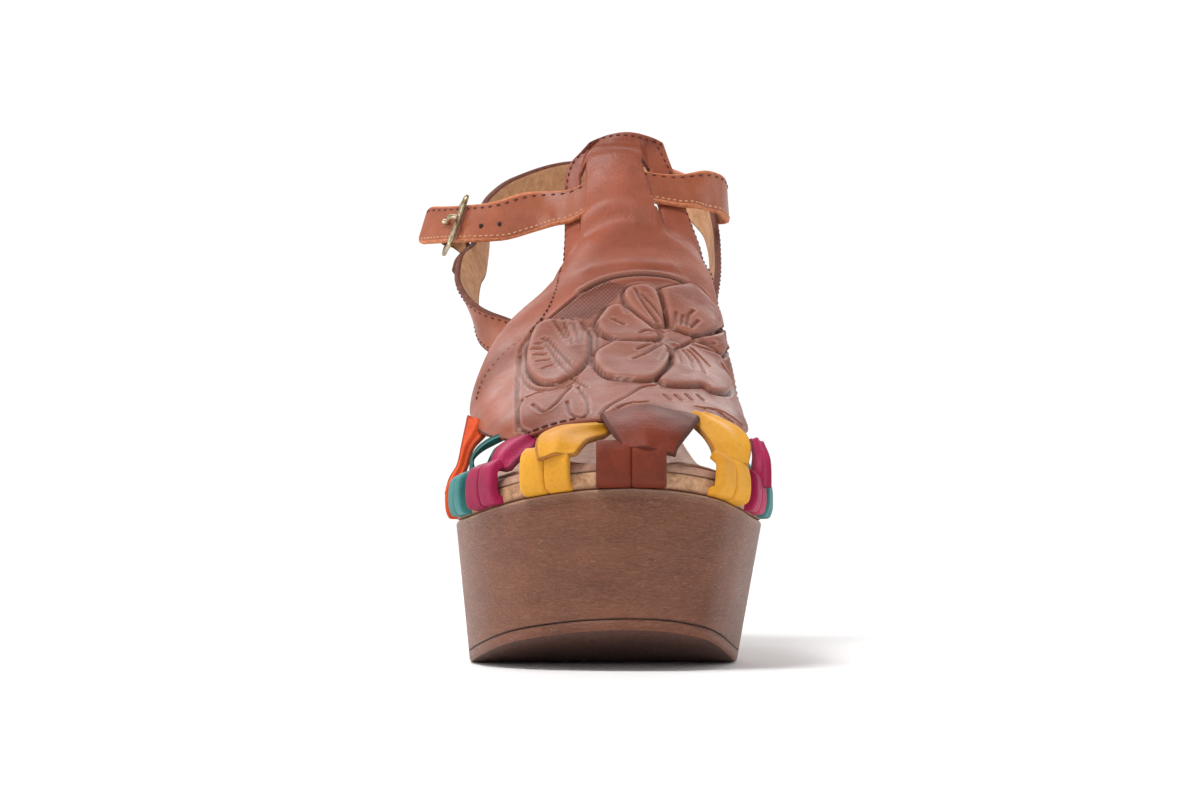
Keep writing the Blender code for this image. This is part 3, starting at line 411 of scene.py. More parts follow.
def end_bunched(share):
    return np.arccos(1 - 2 * np.clip(share, 0.0, 1.0)) / math.pi


def outline(name, share):
    table = np.array(OUTLINE)
    return curve(end_bunched(table[:, 0]), table[:, OUTLINE_COLUMNS.index(name)], end_bunched(share))


def profile(name, share):
    table = np.array(PROFILE)
    return curve(table[:, 0], table[:, PROFILE_COLUMNS.index(name)], share)


def wood_top(share):
    return BALL_TOP + profile("toe_rise", share) * TOE_RISE + profile("heel_rise", share) * HEEL_RISE


def wood_under(share):
    seat = LIFT + GAP
    arch = GROUND_SKIN + profile("toe_spring", share) * TOE_SPRING + profile("arch_rise", share) * ARCH_RISE
    down = np.clip((share - BREAST_TOP) / (BREAST_FOOT - BREAST_TOP), 0, 1)
    return np.where(share >= BREAST_FOOT, seat, arch + down * (seat - arch))


def board_top(share):
    return wood_top(share) + GAP + BOARD


def share_at(along):
    """Share of the sole's length at a distance from the ball."""
    return np.clip(along / SOLE_LENGTH + BALL_SHARE, 0, 1)


def side_points(shares, side, surface, rise=0.0, inset=0.0):
    """Points of the sole's side for many shares, -1 lateral and 1 medial, on a surface of the sole."""
    name = "lateral" if side < 0 else "medial"
    other = "medial" if side < 0 else "lateral"
    toe = np.maximum(0.0, 1 - shares / BALL_SHARE) ** 2
    heel = np.maximum(0.0, (shares - BREAST_FOOT) / (1 - BREAST_FOOT)) ** 2
    shift = inset * (toe - heel)
    height = surface(shares + shift / SOLE_LENGTH) + rise
    depth = np.maximum(wood_top(shares) - height, 0.0)
    edge = outline(name, shares) * HALF_BALL
    middle = (edge + outline(other, shares) * HALF_BALL) / 2
    reach = np.abs(edge - middle)
    draft = outline(name + "_draft", shares) * np.minimum(1.0, reach / NOSE_REACH)
    room = np.maximum(reach - draft * depth - inset, 0.3 * reach)
    full = np.where(shares < BALL_SHARE, BALL_TOP, BALL_TOP + HEEL_RISE)
    lean = (TOE_LEAN * toe - HEEL_LEAN * heel) * depth / full
    along = (shares - BALL_SHARE) * SOLE_LENGTH + lean + shift
    return np.stack([middle + side * room, along, height], axis=-1)


def side_rows(shares, side, rows):
    """Points of the sole's side for rows of (surface, rise, inset)."""
    return np.stack([side_points(shares, side, *row) for row in rows], axis=1)


def stations(first, last, count):
    """Shares of the sole's length, closer together near its ends."""
    low, high = end_bunched(np.array([first, last]))
    return 0.5 - 0.5 * np.cos(math.pi * np.linspace(low, high, count))


def across(left, right, count, dip=0.0):
    """Points from left to right for each station, the middle lower by dip."""
    t = np.linspace(0, 1, count)[None, :, None]
    points = left[:, None] * (1 - t) + right[:, None] * t
    points[:, :, 2] -= (np.asarray(dip).reshape(-1, 1)) * (4 * t * (1 - t))[0, :, 0]
    return points


def upper_point(x_share, y_share, z_share):
    y = (y_share - BALL_SHARE) * SOLE_LENGTH
    return np.array([x_share * HALF_BALL, y, BALL_TOP + z_share * UPPER_HEIGHT])


def vamp_base(row, place):
    """Outer face of the vamp, for arrays of rows and places across."""
    row, place = np.broadcast_arrays(np.asarray(row, float), np.asarray(place, float))
    got = curve(np.arange(len(VAMP)), VAMP, row)

    def point(k):
        y = (got[..., k + 1] - BALL_SHARE) * SOLE_LENGTH
        return np.stack([got[..., k] * HALF_BALL, y, BALL_TOP + got[..., k + 2] * UPPER_HEIGHT], axis=-1)

    ridge = point(0)
    edge = np.where((place < 0)[..., None], point(3), point(6))
    near_ridge, near_edge = ridge.copy(), edge.copy()
    near_ridge[..., 0] += got[..., 9] * (edge - ridge)[..., 0]
    near_edge[..., 2] += got[..., 10] * (ridge - edge)[..., 2]
    t = np.abs(place)[..., None]
    u = 1 - t
    return ridge * u ** 3 + near_ridge * 3 * u * u * t + near_edge * 3 * u * t * t + edge * t ** 3


def unit(vectors):
    return vectors / np.maximum(np.linalg.norm(vectors, axis=-1, keepdims=True), 1e-12)


def vamp_normal(row, place):
    step = 0.01
    row = np.clip(row, step, LAST_ROW - step)
    limit = 1 - step - TONGUE_CALM * np.clip(row - TONGUE_ROW, 0.0, 1.0)
    place = np.clip(place, -limit, limit)
    along = vamp_base(row + step, place) - vamp_base(row - step, place)
    over = vamp_base(row, place + step) - vamp_base(row, place - step)
    return unit(np.cross(over, along))


def row_bell(row, rows):
    reach = 0.9
    outside = np.maximum(np.maximum(rows[0] - row, row - rows[1]), 0.0)
    return np.where(outside < reach, np.maximum(0.0, 1 - (outside / reach) ** 2) ** 2, 0.0)


def band_share(place):
    left = np.clip((LATERAL_SLIT[1] + place) / (LATERAL_SLIT[1] - LATERAL_SLIT[0]), 0, 1)
    right = np.clip((MEDIAL_SLIT[1] - place) / (MEDIAL_SLIT[1] - MEDIAL_SLIT[0]), 0, 1)
    return np.where(place < 0, left, right)


def vamp_outer(row, place, depth=0.0):
    row, place = np.broadcast_arrays(np.asarray(row, float), np.asarray(place, float))
    band = band_share(place)
    lift, sink = BAND_LIFT * row_bell(row, SLIT_ROWS), FLAP_SINK * row_bell(row, FLAP_ROWS)
    shift = band * lift - (1 - band) * sink
    return vamp_base(row, place) + vamp_normal(row, place) * (shift - depth)[..., None]


def vamp_below(row, place, depth):
    return vamp_base(row, place) - vamp_normal(row, place) * np.asarray(depth)[..., None]


def strap_base(row, place, depth):
    """Vamp's outer face less a depth, running on straight beyond the flaps' inner parts."""
    edge = np.clip(place, -STRAP_LEAVES, STRAP_LEAVES)
    step = 0.02 * np.sign(edge)
    on = vamp_below(row, edge, depth)
    way = on - vamp_below(row, edge - step, depth)
    beyond = np.where(np.abs(place) > STRAP_LEAVES, (place - edge) / np.where(step == 0, 1, step), 0.0)
    return on + way * beyond[..., None]


# Meshes


def mesh_object(name, points, faces, materials, face_material=None, marks=None, weld=0.0):
    """Object riding on the root from points and faces, with point attributes in marks."""
    mesh = bpy.data.meshes.new(name)
    mesh.from_pydata(points.tolist(), [], faces)
    mesh.update()
    for material in materials:
        mesh.materials.append(material)
    if face_material is not None:
        mesh.polygons.foreach_set("material_index", np.asarray(face_material, np.int32))
    for key, values in (marks or {}).items():
        layer = mesh.attributes.new(key, "FLOAT", "POINT")
        layer.data.foreach_set("value", np.asarray(values, np.float32))
    if weld:
        work = bmesh.new()
        work.from_mesh(mesh)
        bmesh.ops.remove_doubles(work, verts=work.verts, dist=weld)
        work.to_mesh(mesh)
        work.free()
    mesh.validate()
    mesh.shade_smooth()
    piece = bpy.data.objects.new(name, mesh)
    bpy.context.scene.collection.objects.link(piece)
    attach(piece, "root")
    return piece


def stands_for(node):
    """Hides the solid that a piece stands in place of."""
    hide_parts(node)


def loft_faces(rings, around, closed=False, start=0):
    """Quads of a skin through rings of equal count, and its two end faces."""
    faces = []
    last = rings if closed else rings - 1
    for i in range(last):
        low, high = start + i * around, start + ((i + 1) % rings) * around
        for k in range(around):
            m = (k + 1) % around
            faces.append((low + k, low + m, high + m, high + k))
    if not closed:
        faces.append(tuple(start + k for k in range(around))[::-1])
        faces.append(tuple(start + (rings - 1) * around + k for k in range(around)))
    return faces


def outward(points, faces):
    """Faces turned round if the closed skin is inside out."""
    corner = [points[list(face)] for face in faces]
    volume = 0.0
    for p in corner:
        for k in range(1, len(p) - 1):
            volume += float(np.dot(p[0], np.cross(p[k], p[k + 1])))
    return faces if volume > 0 else [face[::-1] for face in faces]


def loft_object(name, rings, materials, tags=None, closed=False, marks=None, weld=0.0):
    """Closed skin through rings, tags giving the material of each strip of faces along it."""
    count, around = rings.shape[:2]
    points = rings.reshape(-1, 3)
    faces = outward(points, loft_faces(count, around, closed))
    chosen = tags and tags * (count - 1) + [tags[0]] * 2
    return mesh_object(name, points, faces, materials, chosen, marks, weld)


def strap_section(width, thick, flat=5, corner=4, round_share=0.45):
    """Rounded cross-section (across, outwards) from its lower inner edge, and its strips' tags.

    Tags are 0 for the outer face, 1 for the inner face and 2 for the cut edges.
    """
    half, face = width / 2, thick / 2
    nip = round_share * thick
    points, tags = [], []

    def arc(cx, cy, start):
        for k in range(corner):
            angle = math.radians(start + 90 * k / (corner - 1))
            points.append((cx + nip * math.cos(angle), cy + nip * math.sin(angle)))
            tags.append(2)

    def run(x_from, x_to, y, tag):
        tags[-1] = tag
        for k in range(1, flat):
            points.append((x_from + (x_to - x_from) * k / flat, y))
            tags.append(tag)

    arc(nip - half, nip - face, 180)
    run(nip - half, half - nip, -face, 1)
    arc(half - nip, nip - face, 270)
    arc(half - nip, face - nip, 0)
    run(half - nip, nip - half, face, 0)
    arc(nip - half, face - nip, 90)
    return np.array(points), tags


def free_ring(middle, run, wide, section, outwards):
    run = unit(run)
    wide = unit(wide - run * np.dot(wide, run))
    out = np.cross(run, wide)
    if np.dot(out, outwards) < 0:
        out = -out
    return middle + section[:, :1] * wide + section[:, 1:] * out


def vamp_ring(row, place, row_way, place_way, depth, section, surface):
    step = 0.02
    low = surface(np.array(row - row_way * step), np.array(place - place_way * step), np.array(depth))
    high = surface(np.array(row + row_way * step), np.array(place + place_way * step), np.array(depth))
    scale = 2 * step / np.linalg.norm(high - low)
    a, b = section[:, 0], section[:, 1]
    return surface(row + row_way * a * scale, place + place_way * a * scale, depth - b)


def lengths_along(points):
    return np.concatenate([[0.0], np.cumsum(np.linalg.norm(np.diff(points, axis=0), axis=1))])


def circle(count, first, second):
    """Unit circle's points on two axes."""
    angles = np.arange(count) * 2 * math.pi / count
    return np.cos(angles)[:, None] * first + np.sin(angles)[:, None] * second


def smooth_rings(rings, steps):
    rings = np.array(rings)
    knots = lengths_along(rings.mean(axis=1))
    places = [knots[0]]
    for low, high in zip(knots, knots[1:]):
        places += [low + (high - low) * k / steps for k in range(1, steps + 1)]
    return curve(knots, rings, np.array(places))


def leaning(point, lean):
    middle = upper_point(*ANKLE_MIDDLE)
    away = unit(np.array([point[0] - middle[0], point[1] - middle[1], 0.0]))
    angle = math.radians(lean)
    return np.array([0, 0, 1.0]) * math.cos(angle) + away * math.sin(angle), away


def strap_rings(rows, section, runs):
    points = [upper_point(*row[:3]) for row in rows]
    rings = []
    for i, (row, point) in enumerate(zip(rows, points)):
        before = points[i - 1] if i else point - runs[0]
        after = points[i + 1] if i + 1 < len(points) else point + runs[1]
        wide, away = leaning(point, row[3])
        rings.append(free_ring(point, after - before, wide, section, away))
    return rings


def harness_rings(section):
    first = upper_point(*HARNESS[1][:3]) - upper_point(*HARNESS[0][:3])
    last = upper_point(*HARNESS[-1][:3]) - upper_point(*HARNESS[-2][:3])
    free = strap_rings(HARNESS, section, (first, last))
    depth = VAMP_WALL + 2 * GAP + HARNESS_THICK / 2
    row_way, place_way = HARNESS_LAP_WAY
    left, right = (
        [vamp_ring(row, side * place, row_way, -side * place_way, depth, section, vamp_below)
         for row, place in HARNESS_LAP] for side in (-1, 1)
    )
    return left + free + right[::-1]


def harness_outside(share, stand, section):
    half = HARNESS_WIDTH / 2
    probe = np.array([(-half, 0.0), (half, 0.0), (0.0, HARNESS_THICK / 2), (0.0, -HARNESS_THICK / 2)])
    rings = smooth_rings(harness_rings(probe), HARNESS_STEPS)
    index = round(share * (len(rings) - 1))
    middle = rings[index].mean(axis=0)
    run = unit(rings[index - 1].mean(axis=0) - rings[index + 1].mean(axis=0))
    wide = rings[index][1] - rings[index][0]
    return free_ring(middle, run, wide, section + np.array([0, stand]), leaning(middle, 0)[1])


def to_pixel(points):
    """Pixels of the frame at which points are seen."""
    turn = np.array(camera.matrix_world.to_3x3())
    local = (np.asarray(points) - np.array(CAMERA_PLACE)) @ turn
    scale = FOCAL_PIXELS / -local[..., 2]
    x, y = FRAME_SIZE[0] / 2 + local[..., 0] * scale, FRAME_SIZE[1] / 2 - local[..., 1] * scale
    return np.stack([x, y], axis=-1)


def from_pixel(x, y, depth):
    """Point seen at a pixel, at a place along the shoe in metres from the ball."""
    turn = np.array(camera.matrix_world.to_3x3())
    across_way, up = (x - FRAME_SIZE[0] / 2) / FOCAL_PIXELS, (FRAME_SIZE[1] / 2 - y) / FOCAL_PIXELS
    ray = turn @ np.array([across_way, up, -1.0])
    return np.array(CAMERA_PLACE) + ray * (depth - CAMERA_PLACE[1]) / ray[1]


# Materials


def srgb(red, green, blue):
    """Linear colour of screen values from 0 to 255."""
    linear = (((v / 255 + 0.055) / 1.055) ** 2.4 if v > 10 else v / 3295 for v in (red, green, blue))
    return tuple(linear) + (1.0,)


def dimmed(colour, share):
    return tuple(share * v for v in colour[:3]) + (1,)


class Nodes:
    """Short way to write a material's nodes."""

    def __init__(self, name):
        self.material = bpy.data.materials.new(name)
        self.material.use_nodes = True
        self.tree = self.material.node_tree
        self.shader = self.tree.nodes["Principled BSDF"]
        self.place = self.add("ShaderNodeTexCoord").outputs["Object"]

    def add(self, kind, **settings):
        node = self.tree.nodes.new(kind)
        for key, value in settings.items():
            setattr(node, key, value)
        return node

    def feed(self, socket, value):
        if isinstance(value, bpy.types.NodeSocket):
            self.tree.links.new(value, socket)
        else:
            socket.default_value = value

    def stretched(self, scale):
        node = self.add("ShaderNodeMapping")
        self.feed(node.inputs["Vector"], self.place)
        node.inputs["Scale"].default_value = scale
        return node.outputs["Vector"]

    def noise(self, scale, detail=4.0, rough=0.55, where=None, bend=0.0):
        node = self.add("ShaderNodeTexNoise")
        self.feed(node.inputs["Vector"], where or self.place)
        node.inputs["Scale"].default_value = scale
        node.inputs["Detail"].default_value = detail
        node.inputs["Roughness"].default_value = rough
        node.inputs["Distortion"].default_value = bend
        return node.outputs["Fac"]

    def cells(self, scale, where=None):
        node = self.add("ShaderNodeTexVoronoi", feature="F1")
        self.feed(node.inputs["Vector"], where or self.place)
        node.inputs["Scale"].default_value = scale
        return node.outputs["Distance"]

    def lines(self, angle):
        """Fine parallel lines on the front of the shoe, turned by an angle."""
        turn = self.add("ShaderNodeMapping")
        self.feed(turn.inputs["Vector"], self.place)
        turn.inputs["Rotation"].default_value = (0, math.radians(angle), 0)
        node = self.add("ShaderNodeTexWave", wave_type="BANDS", bands_direction="X")
        self.feed(node.inputs["Vector"], turn.outputs["Vector"])
        node.inputs["Scale"].default_value = HATCH_LINES
        return node.outputs["Fac"]

    def mark(self, name):
        return self.add("ShaderNodeAttribute", attribute_name=name).outputs["Fac"]

    def ramp(self, value, stops):
        node = self.add("ShaderNodeValToRGB")
        self.feed(node.inputs["Fac"], value)
        ramp = node.color_ramp
        while len(ramp.elements) < len(stops):
            ramp.elements.new(0.5)
        for element, (place, colour) in zip(ramp.elements, stops):
            element.position = place
            element.color = colour if isinstance(colour, tuple) else (colour, colour, colour, 1)
        return node.outputs["Color"]

    def mix(self, share, first, second):
        node = self.add("ShaderNodeMix", data_type="RGBA")
        sockets = [s for s in node.inputs if s.type == "RGBA"]
        self.feed(node.inputs[0], share)
        self.feed(sockets[0], first)
        self.feed(sockets[1], second)
        return [s for s in node.outputs if s.type == "RGBA"][0]

    def math(self, kind, first, second):
        node = self.add("ShaderNodeMath", operation=kind)
        self.feed(node.inputs[0], first)
        self.feed(node.inputs[1], second)
        return node.outputs[0]

    def bump(self, height, distance, before=None):
        node = self.add("ShaderNodeBump")
        self.feed(node.inputs["Height"], height)
        node.inputs["Distance"].default_value = distance
        if before is not None:
            self.feed(node.inputs["Normal"], before)
        return node.outputs["Normal"]

    def shade(self, **values):
        for key, value in values.items():
            self.feed(self.shader.inputs[key.replace("_", " ")], value)
        return self.material


def smooth_leather(name, light, dark, rough=(0.32, 0.5), grain=1500, depth=0.05 * MM, coat=0.12,
                   gloss=0.35, tooled_stain_and_shade=False):
    """Dyed grain leather: cloudy colour, fine pores; tooled leather adds stain and painted shade in its
    grooves, painted highlight with rub wear on raised rims, and crosshatching.
    """
    n = Nodes(name)
    colour = n.ramp(n.noise(45, 5, 0.6), [(0.32, dark), (0.68, light)])
    fleck = n.noise(900, 3, 0.7)
    colour = n.mix(n.ramp(fleck, [(0.52, 0.0), (0.8, 0.35)]), colour, dimmed(dark, 0.6))
    if tooled_stain_and_shade:
        # Stain and painted shade: darker in the grooves, under the arch's lip, round the flower's heart and
        # over the tooled panel
        groove = n.ramp(n.mark("tooled_stain_and_shade"), [(0.0, 0.0), (1.0, 0.85)])
        colour = n.mix(groove, colour, dimmed(dark, 0.26))
        # Painted highlight with rub wear: lighter on the raised rims beside the grooves and just inside the
        # petals' edges
        wear_and_highlight = n.ramp(n.mark("wear_and_highlight"), [(0.0, 0.0), (1.0, 0.42)])
        colour = n.mix(wear_and_highlight, colour, srgb(198, 148, 132))
    normal = n.bump(n.cells(grain), depth)
    if tooled_stain_and_shade:
        net = n.math("MAXIMUM", n.lines(45), n.lines(-45))
        hatched = n.math("MULTIPLY", n.mark("hatch"), n.ramp(net, [(0.55, 0.0), (0.85, 1.0)]))
        colour = n.mix(n.math("MULTIPLY", hatched, 0.6), colour, dimmed(dark, 0.4))
        normal = n.bump(n.math("MULTIPLY", hatched, -1.0), 0.4 * MM, normal)
    normal = n.bump(n.noise(260, 4, 0.6), 0.12 * MM, normal)
    rough_map = n.ramp(n.noise(120, 4), [(0.3, rough[0]), (0.7, rough[1])])
    return n.shade(Base_Color=colour, Roughness=rough_map, Normal=normal, Coat_Weight=coat,
                   Coat_Roughness=0.35, Specular_IOR_Level=gloss)


def raw_leather(name, light, dark, rough=0.85, depth=0.5 * MM, scale=650):
    """Cut or fleshy side of leather: fibrous and matt."""
    n = Nodes(name)
    fibre = n.noise(scale, 8, 0.75)
    colour = n.ramp(fibre, [(0.36, dark), (0.62, light)])
    normal = n.bump(fibre, depth)
    normal = n.bump(n.noise(scale * 3, 4, 0.7), depth / 3, normal)
    return n.shade(Base_Color=colour, Roughness=rough, Normal=normal)


def wood_material():
    """Stained fine-grained wood: short wrinkled grain lying along the sole's side."""
    n = Nodes("stained_wood")
    flat = n.stretched((1.0, 1.0, 3.2))
    wrinkle = n.noise(430, 7, 0.68, flat, 1.4)
    cloud = n.noise(30, 5, 0.6, flat)
    streak = n.noise(900, 5, 0.7, n.stretched((1.0, 1.0, 5.0)), 0.8)
    pits = n.cells(260, n.stretched((1.0, 1.0, 2.0)))
    colour = n.ramp(cloud, [(0.3, srgb(120, 68, 46)), (0.7, srgb(148, 88, 61))])
    for share, tint in (
        # wrinkles: the grain's own tone, with painted highlight on their ridges and painted shade in their
        # troughs, following the bump
        (n.ramp(wrinkle, [(0.50, 0.0), (0.76, 0.55)]), (178, 132, 104)),
        (n.ramp(wrinkle, [(0.26, 0.7), (0.44, 0.0)]), (78, 50, 38)),
        (n.ramp(streak, [(0.5, 0.0), (0.72, 0.45)]), (184, 132, 100)),
        (n.ramp(pits, [(0.02, 1.0), (0.09, 0.0)]), (70, 44, 34)),
        # painted highlight along the rounded top rim
        (n.mark("rim"), (196, 156, 130)),
        # painted shade along the underside's edges, at the seam above the tread
        (n.mark("seam_shade"), (40, 22, 16)),
    ):
        colour = n.mix(share, colour, srgb(*tint))
    normal = n.bump(n.noise(1300, 5, 0.7, flat), 0.12 * MM, n.bump(wrinkle, 1.3 * MM))
    rough = n.ramp(wrinkle, [(0.3, 0.52), (0.7, 0.33)])
    return n.shade(Base_Color=colour, Roughness=rough, Normal=normal, Coat_Weight=0.12,
                   Coat_Roughness=0.34, Specular_IOR_Level=0.35)


def rubber_material():
    n = Nodes("outsole_rubber")
    crumb = n.noise(700, 6, 0.7)
    colour = n.ramp(crumb, [(0.35, srgb(64, 36, 28)), (0.65, srgb(104, 66, 52))])
    normal = n.bump(crumb, 0.5 * MM)
    return n.shade(Base_Color=colour, Roughness=0.62, Normal=normal)


def metal_material():
    n = Nodes("antique_brass")
    tarnish = n.noise(260, 6, 0.65)
    colour = n.ramp(tarnish, [(0.35, srgb(120, 100, 66)), (0.6, srgb(190, 176, 146))])
    rough = n.ramp(tarnish, [(0.35, 0.5), (0.65, 0.24)])
    normal = n.bump(n.noise(600, 4), 0.05 * MM)
    return n.shade(Base_Color=colour, Roughness=rough, Normal=normal, Metallic=1.0)


def insole_material():
    """Board's wrapped edge: rough below its seam, smooth leather above it."""
    n = Nodes("insole_leather")
    level = n.mark("level")
    fibre = n.noise(500, 7, 0.7)
    low = n.ramp(fibre, [(0.35, srgb(150, 104, 74)), (0.6, srgb(205, 160, 122))])
    high = n.ramp(n.noise(120, 6, 0.6), [(0.35, srgb(158, 116, 94)), (0.65, srgb(196, 152, 130))])
    colour = n.mix(n.ramp(level, [(0.58, 0.0), (0.66, 1.0)]), low, high)
    seam = n.ramp(level, [(0.57, 0.0), (0.615, 1.0), (0.66, 0.0)])
    colour = n.mix(seam, colour, srgb(96, 58, 40))
    # painted shade along the foot of the edge and under the board, next to the wood
    colour = n.mix(n.ramp(level, [(0.0, 1.0), (0.14, 0.0)]), colour, srgb(118, 72, 50))
    return n.shade(Base_Color=colour, Roughness=0.66, Normal=n.bump(fibre, 0.45 * MM))


def plain_material(name, colour):
    """Matt thread or shade with fine specks."""
    n = Nodes(name)
    speck = n.noise(1400, 4, 0.7)
    shaded = n.mix(n.ramp(speck, [(0.4, 0.0), (0.7, 0.5)]), colour, dimmed(colour, 0.55))
    return n.shade(Base_Color=shaded, Roughness=0.7, Normal=n.bump(speck, 0.1 * MM))


# Camera, light and floor


def make_camera():
    data = bpy.data.cameras.new("camera")
    data.lens = CAMERA_LENS
    data.sensor_width = CAMERA_SENSOR
    data.clip_start = 0.05
    made = bpy.data.objects.new("camera", data)
    made.location = CAMERA_PLACE
    made.rotation_euler = (math.radians(CAMERA_TILT), 0, math.radians(CAMERA_TURN))
    bpy.context.scene.collection.objects.link(made)
    bpy.context.scene.camera = made
    bpy.context.view_layer.update()
    return made


def make_lamp(name, place, size, power, target=(0, 0.03, 0.08)):
    data = bpy.data.lights.new(name, "AREA")
    data.shape = "RECTANGLE"
    data.size, data.size_y = size
    data.energy = power
    lamp = bpy.data.objects.new(name, data)
    lamp.location = place
    lamp.rotation_euler = (Vector(target) - Vector(place)).to_track_quat("-Z", "Y").to_euler()
    bpy.context.scene.collection.objects.link(lamp)


def make_studio():
    """White backdrop near the horizon, dimmer room above, four lamps and the floor."""
    scene = bpy.context.scene
    scene.view_settings.view_transform = "Standard"
    world = bpy.data.worlds.new("studio")
    world.use_nodes = True
    tree = world.node_tree
    back = tree.nodes["Background"]
    back.inputs["Color"].default_value = (1, 1, 1, 1)
    way = tree.nodes.new("ShaderNodeTexCoord").outputs["Generated"]
    split = tree.nodes.new("ShaderNodeSeparateXYZ")
    tree.links.new(way, split.inputs[0])
    height = tree.nodes.new("ShaderNodeMath")
    height.operation = "ABSOLUTE"
    tree.links.new(split.outputs["Z"], height.inputs[0])
    fade = tree.nodes.new("ShaderNodeMapRange")
    for key, value in (("From Min", BACKDROP_TOP), ("From Max", 2 * BACKDROP_TOP),
                       ("To Min", BACKDROP_LIGHT), ("To Max", ROOM_LIGHT)):
        fade.inputs[key].default_value = value
    tree.links.new(height.outputs[0], fade.inputs["Value"])
    tree.links.new(fade.outputs["Result"], back.inputs["Strength"])
    scene.world = world
    make_lamp("key", (-0.4, -0.45, 1.25), (0.45, 0.45), KEY_POWER)
    make_lamp("left_strip", (-0.9, 0.05, 0.35), (0.25, 0.7), SIDE_POWER, (0.0, -0.02, 0.06))
    make_lamp("right_strip", (0.9, 0.0, 0.3), (0.25, 0.7), 0.7 * SIDE_POWER, (0.0, -0.02, 0.06))
    make_lamp("floor_light", (0.0, 1.9, 1.5), (2.6, 1.4), FLOOR_POWER, (0.0, 0.9, 0.0))
    mesh = bpy.data.meshes.new("floor")
    corners = [(x * FLOOR_HALF, y * FLOOR_HALF, 0) for x, y in ((-1, -1), (1, -1), (1, 1), (-1, 1))]
    mesh.from_pydata(corners, [], [(0, 1, 2, 3)])
    n = Nodes("floor")
    mottle = n.ramp(n.noise(3, 2), [(0.3, 0.95), (0.7, 0.97)])
    mesh.materials.append(n.shade(Base_Color=mottle, Roughness=0.9))
    floor = bpy.data.objects.new("floor", mesh)
    scene.collection.objects.link(floor)


# Sole and insole


def flank_level(share):
    """Surface at a share of the way down from the rim to the underside."""
    return lambda at: (wood_top(at) - RIM_ROUND) * (1 - share) + wood_under(at) * share


def wood_rings(shares):
    """Rings of the wood's skin: top, rounded rim, side, underside, side, rim."""
    angles = [math.pi / 2 * k / RIM_POINTS for k in range(1, RIM_POINTS + 1)]
    rim = [(wood_top, -RIM_ROUND * (1 - math.cos(a)), RIM_ROUND * (1 - math.sin(a))) for a in angles]
    flank = [(flank_level(k / FLANK_POINTS),) for k in FLANK_STEPS]
    top_left, top_right = (side_points(shares, side, wood_top, 0.0, RIM_ROUND) for side in (-1, 1))
    under_left, under_right = (side_points(shares, side, wood_under) for side in (-1, 1))
    return np.concatenate([
        across(top_left, top_right, FACE_POINTS),
        side_rows(shares, 1, rim + flank),
        across(under_right, under_left, FACE_POINTS),
        side_rows(shares, -1, (rim + flank)[::-1]),
    ], axis=1)


def make_wood():
    shares = np.unique(np.concatenate([stations(0.0, 1.0, 170), [BREAST_TOP, BREAST_FOOT]]))
    rings = wood_rings(shares)
    # Marks: a painted highlight along the rounded top rim, and painted shade along the underside's two edges
    # at the seam above the tread
    depth = rings[..., 2] - wood_top(share_at(rings[..., 1])) + 0.5 * RIM_ROUND
    seam_shade = np.zeros(rings.shape[:2])
    right_foot = FACE_POINTS + RIM_POINTS + len(FLANK_STEPS)
    seam_shade[:, [right_foot, right_foot + FACE_POINTS - 1]] = 1.0
    marks = {"rim": np.exp(-(depth / (0.42 * RIM_ROUND)) ** 2).ravel(), "seam_shade": seam_shade.ravel()}
    piece = loft_object("wooden_sole", rings, [wood_material()], marks=marks, weld=WELD)
    stands_for("wood_sole")


def slab_rings(shares, top, under, nip):
    """Rings of a thin sole layer whose lower edge is rounded."""
    angles = [math.pi / 2 * k / 3 for k in range(4)]
    edge = [(under, nip * (1 - math.sin(a)), nip * (1 - math.cos(a))) for a in angles]
    top_left, top_right = (side_points(shares, side, top) for side in (-1, 1))
    foot_left, foot_right = (side_points(shares, side, under, 0.0, nip) for side in (-1, 1))
    return np.concatenate([
        across(top_left, top_right, 7),
        side_rows(shares, 1, edge),
        across(foot_right, foot_left, FACE_POINTS)[:, 1:-1],
        side_rows(shares, -1, edge[::-1]),
    ], axis=1)


def make_treads():
    """Outsole and heel lift: stained edges, rubber from the rounding down."""
    side, rubber = wood_material(), rubber_material()
    tags = [0] * 9 + [1] * 10 + [0] * 3
    tread = slab_rings(stations(0.0, OUTSOLE_END, 90), lambda at: wood_under(at) - GAP,
                       lambda at: wood_under(at) - GAP - OUTSOLE, OUTSOLE / 3)
    lift = slab_rings(stations(BREAST_FOOT, 1.0, 50), lambda at: np.full_like(at, LIFT),
                      np.zeros_like, LIFT / 5)
    for name, rings, node in (("tread", tread, "outsole"), ("heel_tread", lift, "heel_top_lift")):
        # no painted rim highlight or seam shade on the treads
        blank = np.zeros(rings.shape[0] * rings.shape[1])
        marks = {"rim": blank, "seam_shade": blank}
        piece = loft_object(name, rings, [side, rubber], tags, marks=marks, weld=WELD)
        stands_for(node)


def cup_dip(left, right):
    return CUP_DEPTH * np.minimum(1.0, np.linalg.norm(right - left, axis=1) / HALF_BALL)


